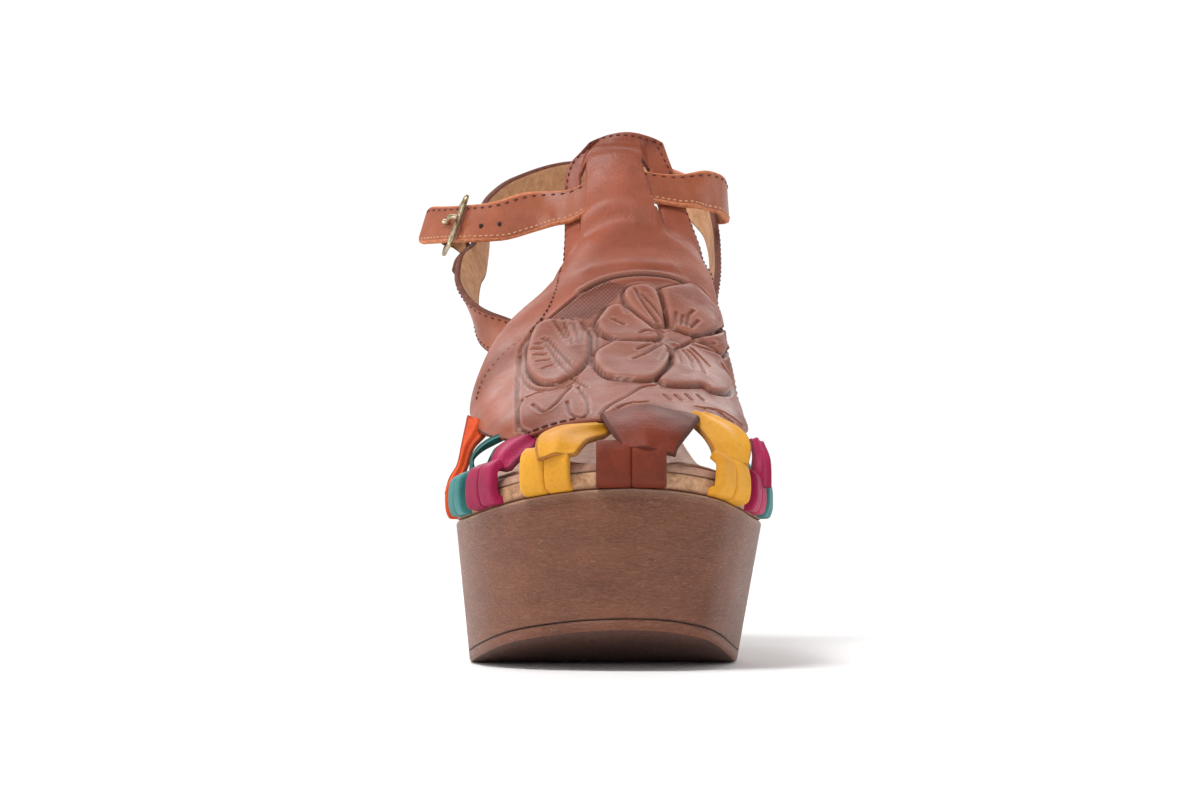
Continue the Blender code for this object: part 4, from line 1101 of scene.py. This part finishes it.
def make_insole():
    """Board with its wrapped, seamed edge, and the sock on it."""
    shares = stations(0.0024, 0.9976, 150)
    rows = [(wood_top, GAP, EDGE_INSET + 0.3 * MM)]
    for height in (0.5, 1.6, 2.8, 4.0):
        swell = 0.25 * MM * math.sin(math.pi * height / 5)
        rows.append((wood_top, height * MM, EDGE_INSET - swell))
    for rise, inset in ((-0.35, 0.0), (0.0, 0.55), (0.35, 0.1)):
        rows.append((wood_top, EDGE_SEAM + rise * MM, EDGE_INSET + inset * MM))
    bend = EDGE_ROUND * 0.9
    for k in range(7):
        angle = math.pi / 2 * k / 6
        inset = EDGE_INSET + 0.1 * MM + bend * (1 - math.cos(angle))
        rows.append((board_top, bend * (math.sin(angle) - 1), inset))
    left, right = (side_rows(shares, side, rows) for side in (-1, 1))
    top = across(left[:, -1], right[:, -1], 11, cup_dip(left[:, -1], right[:, -1]))[:, 1:-1]
    under = (left[:, :1] + right[:, :1]) / 2
    rings = np.concatenate([left, top, right[:, ::-1], under], axis=1)
    level = np.clip((rings[..., 2] - wood_top(share_at(rings[..., 1]))) / BOARD, 0, 1)
    piece = loft_object("insole", rings, [insole_material()], marks={"level": level.ravel()})
    stands_for("insole_board")

    shares = stations(0.016, 0.986, 90)
    layers = []
    for rise, inset in ((GAP + SOCK, 0.5 * MM), (GAP + SOCK / 2, 0.0), (GAP, 0.3 * MM)):
        margin = EDGE_INSET + EDGE_ROUND + inset
        left, right = (side_points(shares, side, board_top, rise, margin) for side in (-1, 1))
        layers.append(across(left, right, 13, cup_dip(left, right)))
    top, middle, under = layers
    rings = np.concatenate([top, middle[:, -1:], under[:, ::-1], middle[:, :1]], axis=1)
    sock = raw_leather("sock_leather", srgb(196, 150, 122), srgb(158, 112, 88), 0.6, 0.15 * MM, 260)
    piece = loft_object("insole_cover", rings, [sock])
    stands_for("insole_sock")


# Vamp


def smooth_line(points, spacing, closed=False):
    """Evenly spaced places on a smooth curve through points."""
    points = np.asarray(points, float)
    if closed:
        points = np.concatenate([points, points[:1]])
    knots = lengths_along(points)
    return curve(knots, points, np.linspace(0, knots[-1], max(2, int(knots[-1] / spacing) + 1)))


def bell(away, middle=0.0, wide=1.0):
    return np.exp(-((away - middle) / wide) ** 2)


def line_distance(points, line):
    best = np.full(len(points), np.inf)
    for a, b in zip(line, line[1:]):
        run = b - a
        t = np.clip((points - a) @ run / max(run @ run, 1e-12), 0, 1)
        best = np.minimum(best, np.linalg.norm(points - a - t[:, None] * run, axis=1))
    return best


def inside(places, polygon):
    """Which places lie within a polygon, by counting crossings."""
    x, y = places[:, 0], places[:, 1]
    odd = np.zeros(len(places), bool)
    for (ax, ay), (bx, by) in zip(polygon, np.roll(polygon, -1, axis=0)):
        odd ^= ((ay > y) != (by > y)) & (x < (bx - ax) * (y - ay) / (by - ay + 1e-9) + ax)
    return odd


class Seen:
    """A surface on which the camera's pixels can be looked up."""

    def __init__(self, points, faces):
        self.tree = BVHTree.FromPolygons(points.tolist(), faces)

    def place(self, x, y):
        start = Vector(CAMERA_PLACE)
        way = Vector(from_pixel(x, y, 0.0)) - start
        found = self.tree.ray_cast(start, way.normalized())[0]
        return None if found is None else np.array(found)

    def line(self, pixels, closed=False):
        found = [self.place(x, y) for x, y in smooth_line(pixels, 2.0, closed)]
        return np.array([point for point in found if point is not None])


def tooled_relief(points, facing, seen):
    """Relief of the ornament at points of the vamp, with its stain and painted shade, its rub wear and
    painted highlight, and its hatching.
    """
    pixels = to_pixel(points)
    near = facing & (pixels[:, 1] > 255) & (pixels[:, 1] < 445)
    spots, places = points[near], pixels[near]
    rise, rub_and_highlight = np.zeros(len(spots)), np.zeros(len(spots))
    panel = ARCH_GROOVE + PANEL_FOOT + BORDER_GROOVE[::-1]
    # the tooled panel's ground is stained darker
    shade = 0.26 * inside(places, np.array(panel, float))

    def groove(pixels_of, deep, wide, lip=0.25, closed=False, shadow=1.0):
        nonlocal rise, shade, rub_and_highlight
        line = seen.line(pixels_of, closed)
        if len(line) < 2:
            return
        away = line_distance(spots, line) / (wide * MM)
        rise = rise - deep * MM * bell(away) + lip * deep * MM * bell(away, 1.9, 0.8)
        # painted shade along each groove, painted highlight with rub wear on its raised lip
        shade = np.maximum(shade, shadow * bell(away, wide=1.6))
        rub_and_highlight = np.maximum(rub_and_highlight, 0.6 * bell(away, 2.0, 0.7))

    heart = seen.place(*FLOWER_MIDDLE)
    from_heart = np.linalg.norm(spots - heart, axis=1)
    for petal in PETALS + (LEAF,):
        within = inside(places, smooth_line(petal, 3.0, True))
        depth_in = line_distance(spots, seen.line(petal, True))
        dome = 1.5 * MM * (1 - np.exp(-depth_in / (1.3 * MM))) * np.exp(-depth_in / (14 * MM))
        lift = dome * (0.55 + 0.6 * np.clip(from_heart / (17 * MM), 0, 1.2))
        rise = np.where(within, np.maximum(rise, lift), rise)
        # painted highlight with rub wear just inside each petal's edge
        rub_and_highlight = np.where(within, np.maximum(rub_and_highlight, 0.5 * bell(depth_in, 1.6 * MM, MM)), rub_and_highlight)
    for petal in PETALS:
        groove(petal, 1.0, 0.6, 0.1, True)
    groove(LEAF, 0.85, 0.55, 0.1, True)
    for vein in VEINS:
        groove(vein, 0.65, 0.5, shadow=0.7)
    for scroll in SCROLLS:
        groove(scroll, 0.6, 0.5, 0.4, shadow=0.75)
    groove(BORDER_GROOVE, 0.6, 0.55, shadow=0.7)
    # painted shadow along the arch's groove and under the raised lip above it
    groove(ARCH_GROOVE, 0.8, 0.55)
    groove(ARCH_GROOVE[2:8], 0.7, 0.9, 0.6)
    rise = rise + 0.6 * MM * bell(line_distance(spots, seen.line(ARCH_SWELL)), wide=2.6 * MM)
    rise = rise - 0.5 * MM * bell(from_heart, wide=3.2 * MM) + 0.9 * MM * bell(from_heart, wide=1.2 * MM)
    # painted shade in the hollow round the flower's heart
    shade = np.maximum(shade, 0.75 * bell(from_heart, 2.6 * MM, 0.9 * MM))
    found = np.zeros((4, len(points)))
    found[:, near] = rise, shade, rub_and_highlight, inside(places, np.array(HATCHED, float))
    return found


def vamp_grid():
    """Rows and places of the vamp's mesh, closer near the leather's edges and on the slits' ends."""
    near_end = np.array((0.012, 0.03, 0.055, 0.09))
    edge = 1 - np.array((0.004, 0.009, 0.015))
    (low, high), (first, second) = LATERAL_SLIT, MEDIAL_SLIT
    rows = [np.linspace(0, TOOLED_ROW, 182), np.linspace(TOOLED_ROW, LAST_ROW, 62), near_end,
            LAST_ROW - 2 * near_end, SLIT_ROWS]
    places = [-edge, edge]
    for start, end, count in ((-1, -high, 46), (-high, -low, 11), (-low, first, 60),
                              (first, second, 9), (second, 1, 56)):
        places.append(np.linspace(start, end, count))
    rows, places = (np.unique(np.round(np.concatenate(values), 5)) for values in (rows, places))
    away = np.abs(rows[:, None] - SLIT_ROWS)
    return rows[np.all((away > 0.02) | (away == 0), axis=1)], places


def make_vamp():
    """Vamp and tongue with the tooled relief; returns the surface for the seams."""
    rows, places = vamp_grid()
    grid_row, grid_place = np.meshgrid(rows, places, indexing="ij")
    row, place = grid_row.ravel(), grid_place.ravel()
    plain, normal = vamp_outer(row, place), vamp_normal(row, place)

    def away(other_row, other_place):
        return np.linalg.norm(plain - vamp_outer(other_row, other_place), axis=1)

    (low, high), (first, second) = LATERAL_SLIT, MEDIAL_SLIT
    far = np.full(len(plain), 1.0)
    for border in (-1.0, 1.0):
        far = np.minimum(far, away(row, border))
    for border in (0.0, LAST_ROW):
        far = np.minimum(far, away(border, place))
    level = (row > SLIT_ROWS[0] - 0.03) & (row < SLIT_ROWS[1] + 0.03)
    for border in (-high, -low, first, second):
        far = np.where(level, np.minimum(far, away(row, border)), far)
    soft = 1.0 * MM
    drop = soft * (1 - np.sqrt(1 - np.clip(1 - far / soft, 0, 0.98) ** 2))

    shown = np.ones((len(rows) - 1, len(places) - 1), bool)
    middle_row, middle_place = (rows[1:] + rows[:-1]) / 2, (places[1:] + places[:-1]) / 2
    in_rows = (middle_row > SLIT_ROWS[0]) & (middle_row < SLIT_ROWS[1])
    in_lateral = (middle_place > -high) & (middle_place < -low)
    in_medial = (middle_place > first) & (middle_place < second)
    shown[np.ix_(in_rows, in_lateral | in_medial)] = False
    grid = np.arange(row.size).reshape(grid_row.shape).tolist()
    cells = np.argwhere(shown).tolist()
    quads = [(grid[i][j], grid[i][j + 1], grid[i + 1][j + 1], grid[i + 1][j]) for i, j in cells]
    seen = Seen(plain, quads)

    facing = (row < 8.2) & (np.einsum("ij,ij->i", normal, np.array(CAMERA_PLACE) - plain) > 0)
    relief, *found = tooled_relief(plain, facing, seen)
    waves = 0.12 * MM * (np.sin(row * 2.3 + place * 4) + np.sin(row * 4.1 - place * 6.5))
    fade = np.clip(far / (2 * MM), 0, 1)
    outer = plain + normal * (relief * fade + waves * fade - drop)[:, None]
    inner = plain - normal * (VAMP_WALL - drop)[:, None]

    offset = row.size
    faces, kinds = [], []
    for a, b, c, d in quads:
        faces += [(a, b, c, d), (d + offset, c + offset, b + offset, a + offset)]
        kinds += [0, 1]
    framed = np.pad(shown, 1)
    for (i, j), quad in zip(cells, quads):
        for k, (to_i, to_j) in enumerate(((i - 1, j), (i, j + 1), (i + 1, j), (i, j - 1))):
            if not framed[to_i + 1, to_j + 1]:
                a, b = quad[k], quad[(k + 1) % 4]
                faces.append((b, a, a + offset, b + offset))
                kinds.append(2)
    used = np.unique(faces)
    points = np.concatenate([outer, inner])[used]
    # marks for the leather: stain and painted shade, rub wear and painted highlight, then hatching
    marks = {key: np.concatenate([values, np.zeros(offset)])[used]
             for key, values in zip(("tooled_stain_and_shade", "wear_and_highlight", "hatch"), found)}
    materials = [
        smooth_leather("vamp_leather", srgb(160, 88, 66), srgb(128, 66, 47), coat=0.05, gloss=0.24,
                       tooled_stain_and_shade=True),
        raw_leather("vamp_lining", srgb(196, 146, 106), srgb(160, 112, 78), 0.8, 0.2 * MM, 300),
        raw_leather("cut_edge", srgb(122, 66, 46), srgb(84, 44, 32), 0.7, 0.3 * MM),
    ]
    faces = np.searchsorted(used, faces).tolist()
    piece = mesh_object("vamp_and_tongue", points, faces, materials, kinds, marks=marks)
    stands_for("vamp")
    return seen


# Thread and straps


def thread_piece(name, seams, material):
    """Stitches along lines: seams hold (line, pitch, length, radius)."""
    around = 6
    points, faces = [], []
    for line, pitch, length, radius in seams:
        knots = lengths_along(line)
        places = np.arange(pitch / 2, knots[-1], pitch)
        ahead = curve(knots, line, np.minimum(places + pitch / 4, knots[-1]))
        ways = unit(ahead - curve(knots, line, places - pitch / 4))
        for middle, way in zip(curve(knots, line, places), ways):
            side = unit(np.cross(way, (0.31, 0.22, 0.93)))
            rim = circle(around, side, np.cross(way, side)) * radius
            ends = ((-1.0, 0.15), (-0.75, 0.75), (0.0, 1.0), (0.75, 0.75), (1.0, 0.15))
            faces += loft_faces(len(ends), around, start=len(points))
            for k, swell in ends:
                points += list(middle + way * k * length / 2 + rim * swell)
    mesh_object(name, np.array(points), faces, [material])


def make_vamp_seams(thread, seen):
    inset = 1.7 * MM
    edges = []
    for side, first_row in ((-1, 9.0), (1, 2.4)):
        row = np.linspace(first_row, LAST_ROW - 0.15, 160)
        per = 0.1 / np.linalg.norm(vamp_outer(row, side) - vamp_outer(row, side * 0.9), axis=1)
        edges.append(vamp_outer(row, side * (1 - inset * per)))
    place = np.linspace(-0.86, 0.86, 80)
    tall = np.linalg.norm(vamp_outer(LAST_ROW, place) - vamp_outer(LAST_ROW - 0.5, place), axis=1)
    edges += [vamp_outer(LAST_ROW - inset * 0.5 / tall, place), seen.line(LATERAL_SEAM)]
    hems = [vamp_outer(0.16, np.linspace(start, end, 60)) for start, end in ((-0.97, -0.22), (0.24, 0.97))]
    hems.append(vamp_outer(np.linspace(0.1, 2.9, 50), -0.965))
    seams = [(line, 2.45 * MM, 1.35 * MM, 0.36 * MM) for line in edges]
    seams += [(line, 3.0 * MM, 2.3 * MM, 0.5 * MM) for line in hems]
    thread_piece("vamp_stitches", seams, thread)


def seam_lines(skin, reach, out):
    """Lines along a strap at the same reach to each side of its middle, on its outer face."""
    rings = skin(np.array([(-reach, out), (reach, out), (reach, -out), (-reach, -out)]))
    return rings[:, 0], rings[:, 1]


def harness_skin(section):
    return smooth_rings(harness_rings(section), SKIN_STEPS)


def ankle_skin(section):
    """Rings of the ankle strap from its rounded tip, through the tongue, to its lap."""
    places, rows = np.array(TONGUE_STRAP).T
    tongue = []
    for place in (-0.9, -0.7, -0.52, -0.39, -0.2, 0.0, 0.14, 0.28, 0.39, 0.5, 0.65, 0.85):
        row = float(curve(places, rows, place))
        tongue.append(vamp_ring(row, place, 1.0, 0.0, STRAP_SINK, section, strap_base))
    before, after = tongue[0].mean(axis=0), tongue[-1].mean(axis=0)
    lateral_ends = [upper_point(*STRAP_LATERAL[k][:3]) for k in (0, 1, -1)]
    medial_ends = [upper_point(*STRAP_MEDIAL[k][:3]) for k in (0, -1)]
    tip_run = lateral_ends[1] - lateral_ends[0]
    stand = HARNESS_THICK / 2 + GAP + STRAP_THICK / 2
    lap = [harness_outside(share, stand, section) for share in STRAP_LAP]
    lateral = strap_rings(STRAP_LATERAL, section, (tip_run, before - lateral_ends[2]))
    runs = (medial_ends[0] - after, lap[0].mean(axis=0) - medial_ends[1])
    medial = strap_rings(STRAP_MEDIAL, section, runs)
    rings = smooth_rings(lateral + tongue + medial + lap, SKIN_STEPS)
    end = rings[0].mean(axis=0)
    tip = [end + (rings[0] - end) * share - unit(tip_run) * ahead * MM
           for share, ahead in ((0.76, 3.0), (0.90, 2.4), (0.97, 1.4))]
    return np.concatenate([tip, rings])


def make_straps(thread, pale_thread):
    """Heel harness and ankle strap with their stitches and dark plugs of painted shade at the strap's holes;
    returns the harness's leathers.
    """
    outside = smooth_leather("strap_leather", srgb(164, 91, 62), srgb(132, 68, 44))
    lining = raw_leather("strap_lining", srgb(204, 156, 114), srgb(170, 122, 84), 0.75, 0.2 * MM, 300)
    dark_edge = raw_leather("strap_edge", srgb(120, 62, 42), srgb(82, 42, 30), 0.7, 0.3 * MM)
    warm_edge = raw_leather("ankle_edge", srgb(206, 128, 84), srgb(168, 92, 58), 0.7, 0.3 * MM)
    section, tags = strap_section(HARNESS_WIDTH, HARNESS_THICK, 7)
    piece = loft_object("harness", harness_skin(section), [outside, lining, dark_edge], tags)
    stands_for("heel_harness")
    section, tags = strap_section(STRAP_WIDTH, STRAP_THICK, 7)
    rings = ankle_skin(section)
    piece = loft_object("ankle_belt", rings, [outside, lining, warm_edge], tags)
    stands_for("ankle_strap")
    belt = Seen(rings.reshape(-1, 3), loft_faces(*rings.shape[:2]))
    # dark plugs at the strap's holes: painted shade in place of open holes
    spots = [belt.place(x, y) for x, y in STRAP_HOLES]
    up = np.array((0, 0, HOLE / 2))
    hole_shades = [(np.array([spot - up, spot + up]), HOLE, HOLE, HOLE / 2) for spot in spots if spot is not None]
    thread_piece("strap_hole_shade", hole_shades, plain_material("hole_shade", srgb(34, 18, 12)))
    low, high = seam_lines(ankle_skin, STRAP_WIDTH / 2 - 1.7 * MM, STRAP_THICK / 2)
    thread_piece("ankle_stitches_upper", [(high, 3.2 * MM, 1.5 * MM, 0.36 * MM)], thread)
    thread_piece("ankle_stitches_lower", [(low, 2.0 * MM, 1.3 * MM, 0.32 * MM)], pale_thread)
    lines = seam_lines(harness_skin, HARNESS_WIDTH / 2 - 1.6 * MM, HARNESS_THICK / 2)
    seams = [(line, 2.6 * MM, 1.4 * MM, 0.34 * MM) for line in lines]
    thread_piece("harness_stitches", seams, thread)
    return outside, lining, dark_edge


# Buckle


def buckle_axes():
    row = STRAP_LATERAL[BUCKLE_STATION]
    middle = upper_point(*row[:3])
    tipwards = upper_point(*STRAP_LATERAL[BUCKLE_STATION - 1][:3])
    inwards = upper_point(*STRAP_LATERAL[BUCKLE_STATION + 1][:3])
    run = unit(tipwards - inwards)
    wide, away = leaning(middle, row[3])
    wide = unit(wide - run * np.dot(wide, run))
    out = np.cross(wide, run)
    return middle, run, wide, out if np.dot(out, away) > 0 else -out


def make_buckle(outside, lining, dark_edge):
    """Buckle frame round the strap, its prong, and the tab that holds its heel bar."""
    metal = metal_material()
    middle, run, wide, out = buckle_axes()
    half_high = BUCKLE_HEIGHT / 2 - BUCKLE_WIRE / 2
    bend = 1.3 * MM
    route = []
    for a, b, start in ((1, 1, 0), (-1, 1, 90), (-1, -1, 180), (1, -1, 270)):
        for angle in np.radians(start + 18 * np.arange(6)):
            along = a * (BAR_REACH - bend) + bend * math.cos(angle)
            route.append((along, b * (half_high - bend) + bend * math.sin(angle)))
    dense = smooth_line(route, 1.1 * MM, True)[:-1]
    rings = []
    for i, (a, b) in enumerate(dense):
        way = unit(dense[(i + 1) % len(dense)] - dense[i - 1])
        share = (a + BAR_REACH) / (2 * BAR_REACH)
        stand = FRONT_STAND - share * (FRONT_STAND + HEEL_STAND)
        wire = circle(12, run * way[1] - wide * way[0], 0.8 * out) * BUCKLE_WIRE / 2
        rings.append(middle + run * a + wide * b + out * stand + wire)
    piece = loft_object("buckle", np.array(rings), [metal], closed=True)
    stands_for("buckle_frame")

    root = BAR_REACH - BUCKLE_WIRE / 2 - GAP - PRONG_WIRE / 2
    root_stand = STRAP_THICK / 2 + GAP + PRONG_WIRE / 2
    rest_stand = FRONT_STAND + BUCKLE_WIRE / 2 + GAP + PRONG_WIRE / 2
    route = (
        (root, root_stand, 1.0), (0.2 * BAR_REACH, root_stand, 1.0), (-0.7 * BAR_REACH, rest_stand, 1.0),
        (-BAR_REACH - 0.9 * BUCKLE_WIRE, rest_stand, 0.8), (-BAR_REACH - 1.1 * BUCKLE_WIRE, rest_stand, 0.4),
    )
    wire = circle(10, wide, out) * PRONG_WIRE / 2
    rings = [middle + run * along + out * stand + wire * size_of for along, stand, size_of in route]
    piece = loft_object("prong", smooth_rings(rings, SKIN_STEPS), [metal])
    stands_for("buckle_prong")

    bar = middle + run * BAR_REACH - out * HEEL_STAND
    turn = BUCKLE_WIRE / 2 + GAP + TAB_THICK / 2
    section, tags = strap_section(TAB_WIDTH, TAB_THICK, corner=3)
    stand = HARNESS_THICK / 2 + 2 * GAP + TAB_THICK / 2
    rings = [harness_outside(share, stand, section * np.array([1, -1])) for share in TAB_LAP]
    for angle in np.radians((-100, -50, 0, 45, 80)):
        spoke = run * math.cos(angle) + out * math.sin(angle)
        rings.append(bar + spoke * (turn + section[:, 1:]) + wide * section[:, :1])
    piece = loft_object("tab", smooth_rings(rings, SKIN_STEPS), [outside, lining, dark_edge], tags)
    stands_for("buckle_tab")


# Lacing strips


def lace_base(share, side):
    if side == 0:
        edge = side_points(np.array([0.0012]), 1, wood_top)[0]
        edge[0] = float(outline("lateral", 0.0)) * HALF_BALL
        return edge, np.array([0, -1.0, 0]), np.array([1.0, 0, 0])
    step = 0.012
    low, edge, high = side_points(np.array([max(share - step, 0.0012), share, share + step]), side, wood_top)
    along = high - low
    return edge, unit(np.array([along[1], -along[0], 0])) * side, unit(along)


def pair_rings(share, side, part, section):
    """Rings of one ply of the pair round the insole's edge, part -1 or 1 of its width."""
    edge, out, along = lace_base(share, side)
    middles = []
    for far, up in WRAP:
        tucked = far <= -0.5
        point = edge + out * (far * TUCK if tucked else LACE_THICK / 2 + GAP - EDGE_INSET + far * INSOLE)
        floor = float(wood_top(share_at(point[1]))) if tucked else edge[2]
        point[2] = floor + 2 * GAP + LACE_PLY / 2 + up * INSOLE
        middles.append(point)
    top = middles[-1] - out * 2.6 * MM
    top[2] += 1.7 * MM
    middles.append(top)
    width = PAIR_WIDTH if side else TOE_PAIR_WIDTH
    rings = []
    for i, point in enumerate(middles):
        run = middles[min(i + 1, len(middles) - 1)] - middles[max(i - 1, 0)]
        thin = 1.0 if i > 1 else LACE_PLY / LACE_THICK
        face = out if i > 1 else np.array([0, 0, -1.0])
        shape = section * np.array([width / PAIR_WIDTH, thin]) + np.array([part * width / 4, 0])
        rings.append(free_ring(point, run, along, shape, face))
    return smooth_rings(rings, SKIN_STEPS)


def ribbon_rings(stations_of, thick):
    """Rings of a flat strip whose edges lie at pixels and depths."""
    lefts = np.array([from_pixel(s[0], s[1], s[4] * MM) for s in stations_of])
    rights = np.array([from_pixel(s[2], s[3], s[5] * MM) for s in stations_of])
    middles = (lefts + rights) / 2
    rings = []
    for i, middle in enumerate(middles):
        run = middles[min(i + 1, len(middles) - 1)] - middles[max(i - 1, 0)]
        width = np.linalg.norm(rights[i] - lefts[i])
        section = strap_section(width, thick, LOOP_FLATS)[0]
        turn = 2 * section[:, 0] / width
        fold = LOOP_FOLD * np.cos(LOOP_WAVES * turn + 0.5)
        section[:, 1] += (0.09 * width + fold) * (1 - turn ** 2)
        over = unit(rights[i] - lefts[i])
        out = unit(np.cross(run, over))
        out = out if np.dot(out, (0, -1.0, 0.25)) > 0 else -out
        rings.append(middle + section[:, :1] * over + section[:, 1:] * out)
    return smooth_rings(rings, LOOP_STEPS)


def upper_end_rings(lace):
    """Rings of the single strip from the top of the pair on into the vamp."""
    _, share, side, row, place, row_step, place_step = lace
    edge, out, along = lace_base(share, side)
    row_way, place_way = (0.0, 1.0) if row_step else (1.0, 0.0)
    probe = vamp_base(row + 0.1 * row_way, place + 0.1 * place_way)
    if np.dot(probe - vamp_base(row, place), along) < 0:
        row_way, place_way = -row_way, -place_way
    section = strap_section(0.72 * PAIR_WIDTH, LACE_PLY, corner=3)[0]
    start = edge + out * (LACE_THICK / 2 + 0.4 * MM)
    start[2] += 0.75 * INSOLE
    rings = [free_ring(start, np.array([0, 0, 1.0]), along, section, out)]
    for step, spare in ((0.0, 2 * GAP), (0.5, GAP), (1.0, GAP)):
        depth = VAMP_WALL + GAP + LACE_PLY / 2 + spare
        here, there = row + row_step * step, place + place_step * step
        rings.append(vamp_ring(here, there, row_way, place_way, depth, section, vamp_outer))
    return smooth_rings(rings, LOOP_STEPS)


def joined(name, parts, materials):
    """One piece from several closed skins given as (rings, tags)."""
    points, faces, kinds = [], [], []
    for rings, tags in parts:
        count, around = rings.shape[:2]
        flat = rings.reshape(-1, 3)
        skin = outward(flat, loft_faces(count, around))
        faces += [tuple(v + len(points) for v in face) for face in skin]
        points += list(flat)
        kinds += tags * (count - 1) + [tags[0]] * 2
    return mesh_object(name, np.array(points), faces, materials, kinds)


LACE_DYES = {
    "brown": (srgb(122, 50, 30), srgb(80, 30, 19), srgb(74, 32, 20)),
    "yellow": (srgb(230, 168, 56), srgb(206, 138, 34), srgb(160, 104, 36)),
    "magenta": (srgb(178, 30, 84), srgb(138, 18, 60), srgb(108, 24, 48)),
    "teal": (srgb(66, 140, 138), srgb(40, 104, 104), srgb(46, 82, 76)),
    "orange": (srgb(226, 88, 40), srgb(188, 58, 24), srgb(146, 56, 30)),
}


def make_laces():
    dyed = {}
    for colour, (light, dark, cut) in LACE_DYES.items():
        dyed[colour] = [
            smooth_leather("lace_" + colour, light, dark, (0.5, 0.66), 1200, 0.10 * MM, 0.03, 0.22),
            raw_leather("lace_cut_" + colour, dimmed(cut, 1.5), cut, 0.85, 0.4 * MM, 900),
        ]
    section, tags = strap_section(PAIR_WIDTH / 2 + 0.1 * MM, LACE_THICK, round_share=0.3)
    pair_tags = [int(tag == 1) for tag in tags]
    loop_tags = [int(tag == 2) for tag in strap_section(PAIR_WIDTH, LACE_PLY, LOOP_FLATS)[1]]
    for lace in LACES:
        name, share, side = lace[:3]
        colour = name.split("_")[-1]
        parts = [(pair_rings(share, side, part, section), pair_tags) for part in (-1, 1)]
        if name in LOOPS:
            parts.append((ribbon_rings(LOOPS[name], LACE_PLY), loop_tags))
        else:
            end = upper_end_rings(lace)
            parts.append((end, [0] * end.shape[1]))
        if name == "lace_lateral_teal":
            parts.append((ribbon_rings(TEAL_EYE_STRIP, LACE_PLY), loop_tags))
        piece = joined(name + "_strip", parts, dyed[colour])
        stands_for(name)


camera = make_camera()
make_studio()
make_wood()
make_treads()
make_insole()
rust_thread = plain_material("rust_thread", srgb(92, 40, 26))
pale_thread = plain_material("pale_thread", srgb(206, 150, 110))
make_vamp_seams(rust_thread, make_vamp())
make_buckle(*make_straps(rust_thread, pale_thread))
make_laces()
